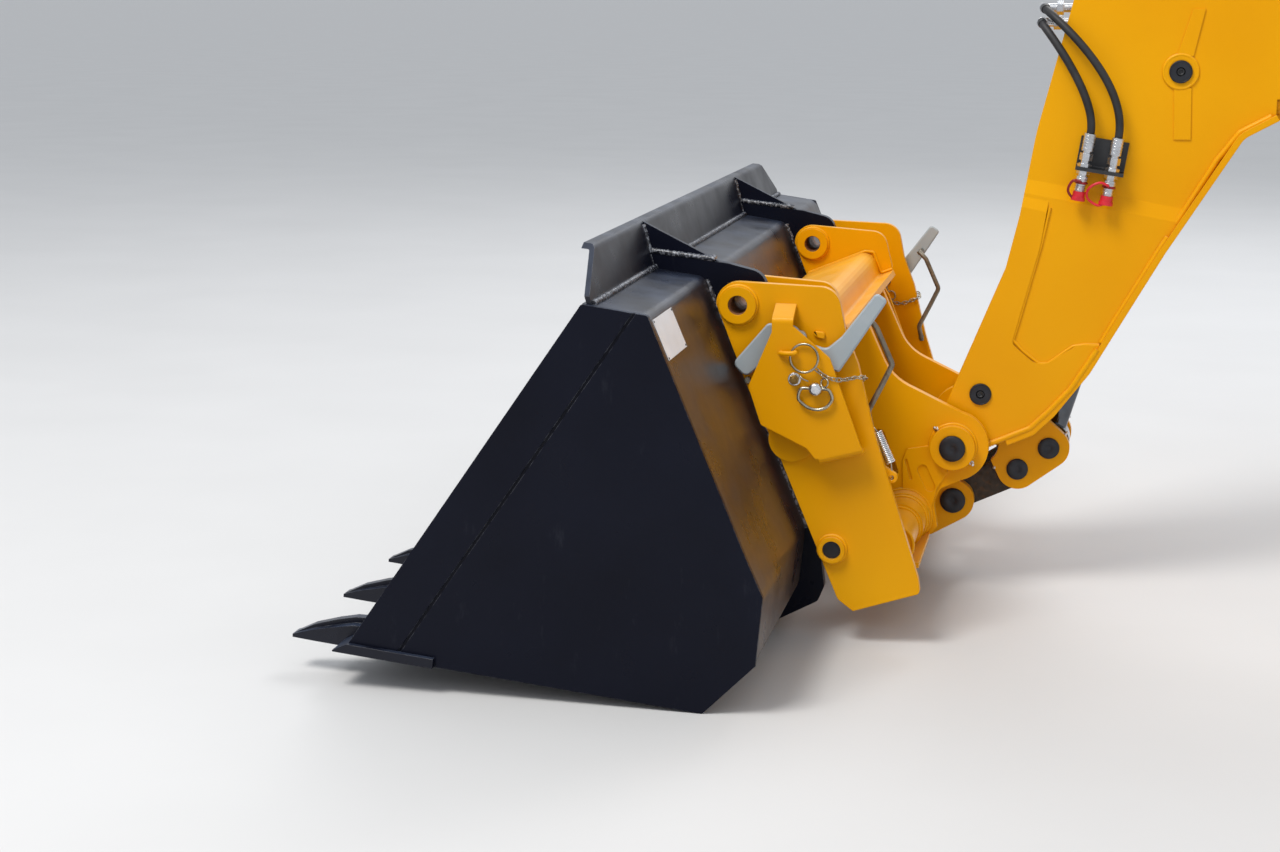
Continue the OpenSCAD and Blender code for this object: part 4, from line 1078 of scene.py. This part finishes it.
# Screws of the wear pads, in millimetres from the frame's zero at the tail
PAD_SCREW = [(0, 10), (3.3, 10), (3.3, 5), (1.5, 4.4)]
SCREW_SPREAD = (-25, 25)
TOP_PAD_LEVEL, TOP_PAD_SCREWS = 210, (-90, 10)
SIDE_PAD_LEVEL, SIDE_PAD_SCREWS = 165, (105, 205)


def pad_screws(piece):
    """Four screws in each wear pad, over, under and beside the tube."""
    for side in SIDES:
        for x in TOP_PAD_SCREWS:
            for y in SCREW_SPREAD:
                foot = Vector((x, y, side * TOP_PAD_LEVEL)) * MM
                piece.lathe(foot, (0, 0, side), PAD_SCREW, "zinc", sides=20)
        for x in SIDE_PAD_SCREWS:
            for z in SCREW_SPREAD:
                foot = Vector((x, side * SIDE_PAD_LEVEL, z)) * MM
                piece.lathe(foot, (0, side, 0), PAD_SCREW, "zinc", sides=20)


def service_details():
    """Rings and cap straps of the couplings, ribs at the anchor pin, screws of the wear pads."""
    piece = Piece("service_details", "boom")
    for along in COUPLINGS:
        coupling_rings(piece, along)
    for finish, rows in STRAPS:
        strap = smooth_run([on_bracket(*row) for row in rows], steps=6)
        piece.tube(strap, STRAP_RADIUS, finish, sides=8)
    for side in SIDES:
        for rows in ANCHOR_RIBS:
            piece.slab(plane_run(rows, side * (CHEEK - 0.2)), (0, side * RIB_THICK, 0), "yellow_paint")
    pad_screws(piece)
    piece.done()


# Hoses, as in the construction: elbow's (forward, up, y), reach out of the elbow, reach over the coupling
HOSES = [((-164, 968, 118), 60, 136), ((-168, 1000, 84), 115, 186)]
ELBOW_END, COUPLING_TOP = 22.3, 46.3
HOSE_RADIUS, SLEEVE_RADIUS = 9.0, 10.4
HOSE_STEPS, SLEEVE_POINTS = 90, 9


def hose_curve(start, start_pull, end_pull, end, t):
    """A point of the smooth curve that leaves and arrives along its two pulls."""
    s = 1 - t
    return s ** 3 * start + 3 * t * s ** 2 * start_pull + 3 * t * t * s * end_pull + t ** 3 * end


def hoses():
    """The two hoses again, round and smooth, along the same curves as in the construction."""
    piece = Piece("smooth_hoses", "boom")
    for along, (elbow, reach_out, reach_up) in zip(COUPLINGS, HOSES):
        forward, up, y = elbow
        start = at(forward, up, y + ELBOW_END)
        start_pull = start + Vector((0, reach_out, 0)) * MM
        end_pull, end = (on_bracket(along, COUPLING_OUT, level) for level in (reach_up, COUPLING_TOP))
        run = [hose_curve(start, start_pull, end_pull, end, k / HOSE_STEPS) for k in range(HOSE_STEPS + 1)]
        piece.tube(run, HOSE_RADIUS, "hose_rubber", sides=20)
        piece.tube(run[:SLEEVE_POINTS], SLEEVE_RADIUS, "black_metal", sides=20)
    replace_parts(piece.done(), "auxiliary_hoses")


# Blank label on the bucket's back: foot (forward, up), rise to its top, levels of its two sides
LABEL_FOOT, LABEL_RISE, LABEL_LEVELS = (482, 341), (33, 78), (1140, 966)
LABEL_OUT = Vector((-0.923, 0, 0.385))
LABEL_THICK = 0.6
RIVET = [(0, 2.6), (0.8, 2.4), (1.3, 1.2)]
RIVET_LEVELS = (1134, 972)


def on_label(share, y):
    """A place on the bucket's back, share of the way up the label."""
    forward, up = (foot + rise * share for foot, rise in zip(LABEL_FOOT, LABEL_RISE))
    return at(forward, up, y) + LABEL_OUT * 0.1 * MM


def label():
    """A blank film plate with four rivets on the bucket's back, beside its left edge."""
    piece = Piece("bucket_label", "carriage")
    left, right = LABEL_LEVELS
    outline = [on_label(0, left), on_label(0, right), on_label(1, right), on_label(1, left)]
    piece.slab(outline, LABEL_OUT * LABEL_THICK, "label_film")
    for share in (0.05, 0.95):
        for y in RIVET_LEVELS:
            foot = on_label(share, y) + LABEL_OUT * 0.5 * MM
            piece.lathe(foot, LABEL_OUT, RIVET, "black_metal", sides=12)
    piece.done()


welds()
latch_hardware()
latch_chains()
latch_levers()
lever_stops()
latch_rods()
pin_faces()
service_details()
hoses()
label()


# Stage: floor, light and the photograph's camera
FLOOR_REACH = 700.0
SKY_LOW, SKY_HIGH = (0.80, 0.82, 0.86, 1.0), (0.92, 0.96, 1.0, 1.0)
SKY_STRENGTH = 0.74
LAMPS_AIM = (2.6, 0.0, -0.9)
# Name, place, size across, watts, colour
LAMPS = [
    ("key", (5.5, 4.5, 6.5), 3.0, 520, (1.0, 0.97, 0.92)),
    ("back", (1.0, -6.0, 5.5), 4.0, 260, (1.0, 1.0, 1.0)),
]


def studio_floor():
    """A plain pale floor just under the part's lowest point."""
    mesh = bpy.data.meshes.new("floor")
    corner_signs = [(-1, -1), (1, -1), (1, 1), (-1, 1)]
    level = GROUND - 0.3 * MM
    mesh.from_pydata([(x * FLOOR_REACH, y * FLOOR_REACH, level) for x, y in corner_signs], [], [(0, 1, 2, 3)])
    floor = bpy.data.objects.new("floor", mesh)
    bpy.context.scene.collection.objects.link(floor)
    material, tree, shader = new_finish("floor_paint", 0.75)
    grey = blend(tree, noise(tree, 1.5, 4.0), srgb(206, 206, 207), srgb(214, 214, 215))
    tree.links.new(grey, shader.inputs["Base Color"])
    mesh.materials.append(material)


def studio_sky():
    """Even soft light, a little bluer and brighter overhead."""
    world = bpy.data.worlds.new("sky")
    bpy.context.scene.world = world
    world.use_nodes = True
    tree = world.node_tree
    background = tree.nodes["Background"]
    split = add(tree, "ShaderNodeSeparateXYZ", Vector=add(tree, "ShaderNodeTexCoord").outputs["Generated"])
    height = between(tree, split.outputs["Z"], 0.0, 0.8)
    tree.links.new(blend(tree, height, SKY_LOW, SKY_HIGH), background.inputs["Color"])
    background.inputs["Strength"].default_value = SKY_STRENGTH


def studio_lamps():
    """Two large square lamps, one before the part and one behind it."""
    for name, spot, size, watts, tint in LAMPS:
        light = bpy.data.lights.new(name, "AREA")
        light.shape = "SQUARE"
        light.size = size
        light.energy = watts
        light.color = tint
        lamp = bpy.data.objects.new(name, light)
        bpy.context.scene.collection.objects.link(lamp)
        lamp.location = spot
        lamp.rotation_euler = (Vector(LAMPS_AIM) - Vector(spot)).to_track_quat("-Z", "Y").to_euler()


# The photograph's own camera, worked out from measured points of the bucket, carriage and boom
CAMERA_AT = (2.2597, 5.0255, 0.0702)
CAMERA_YAW, CAMERA_PITCH = math.radians(12.611), math.radians(11.694)
FOCAL_PX, FRAME_PX, SENSOR_WIDTH = 2096.8, 1280, 36.0


def photo_camera():
    """A camera at the photograph's place, angle and focal length."""
    level = math.cos(CAMERA_PITCH)
    ahead = Vector((math.sin(CAMERA_YAW) * level, -math.cos(CAMERA_YAW) * level, -math.sin(CAMERA_PITCH)))
    right = Vector((-math.cos(CAMERA_YAW), -math.sin(CAMERA_YAW), 0.0))
    up = right.cross(ahead)
    data = bpy.data.cameras.new("photo_camera")
    data.sensor_fit = "HORIZONTAL"
    data.sensor_width = SENSOR_WIDTH
    data.lens = SENSOR_WIDTH * FOCAL_PX / FRAME_PX
    camera = bpy.data.objects.new("photo_camera", data)
    bpy.context.scene.collection.objects.link(camera)
    turn = Matrix((right, up, -ahead)).transposed().to_4x4()
    camera.matrix_world = Matrix.Translation(CAMERA_AT) @ turn
    bpy.context.scene.camera = camera


studio_floor()
studio_sky()
studio_lamps()
photo_camera()
bpy.context.scene.view_settings.view_transform = "Standard"
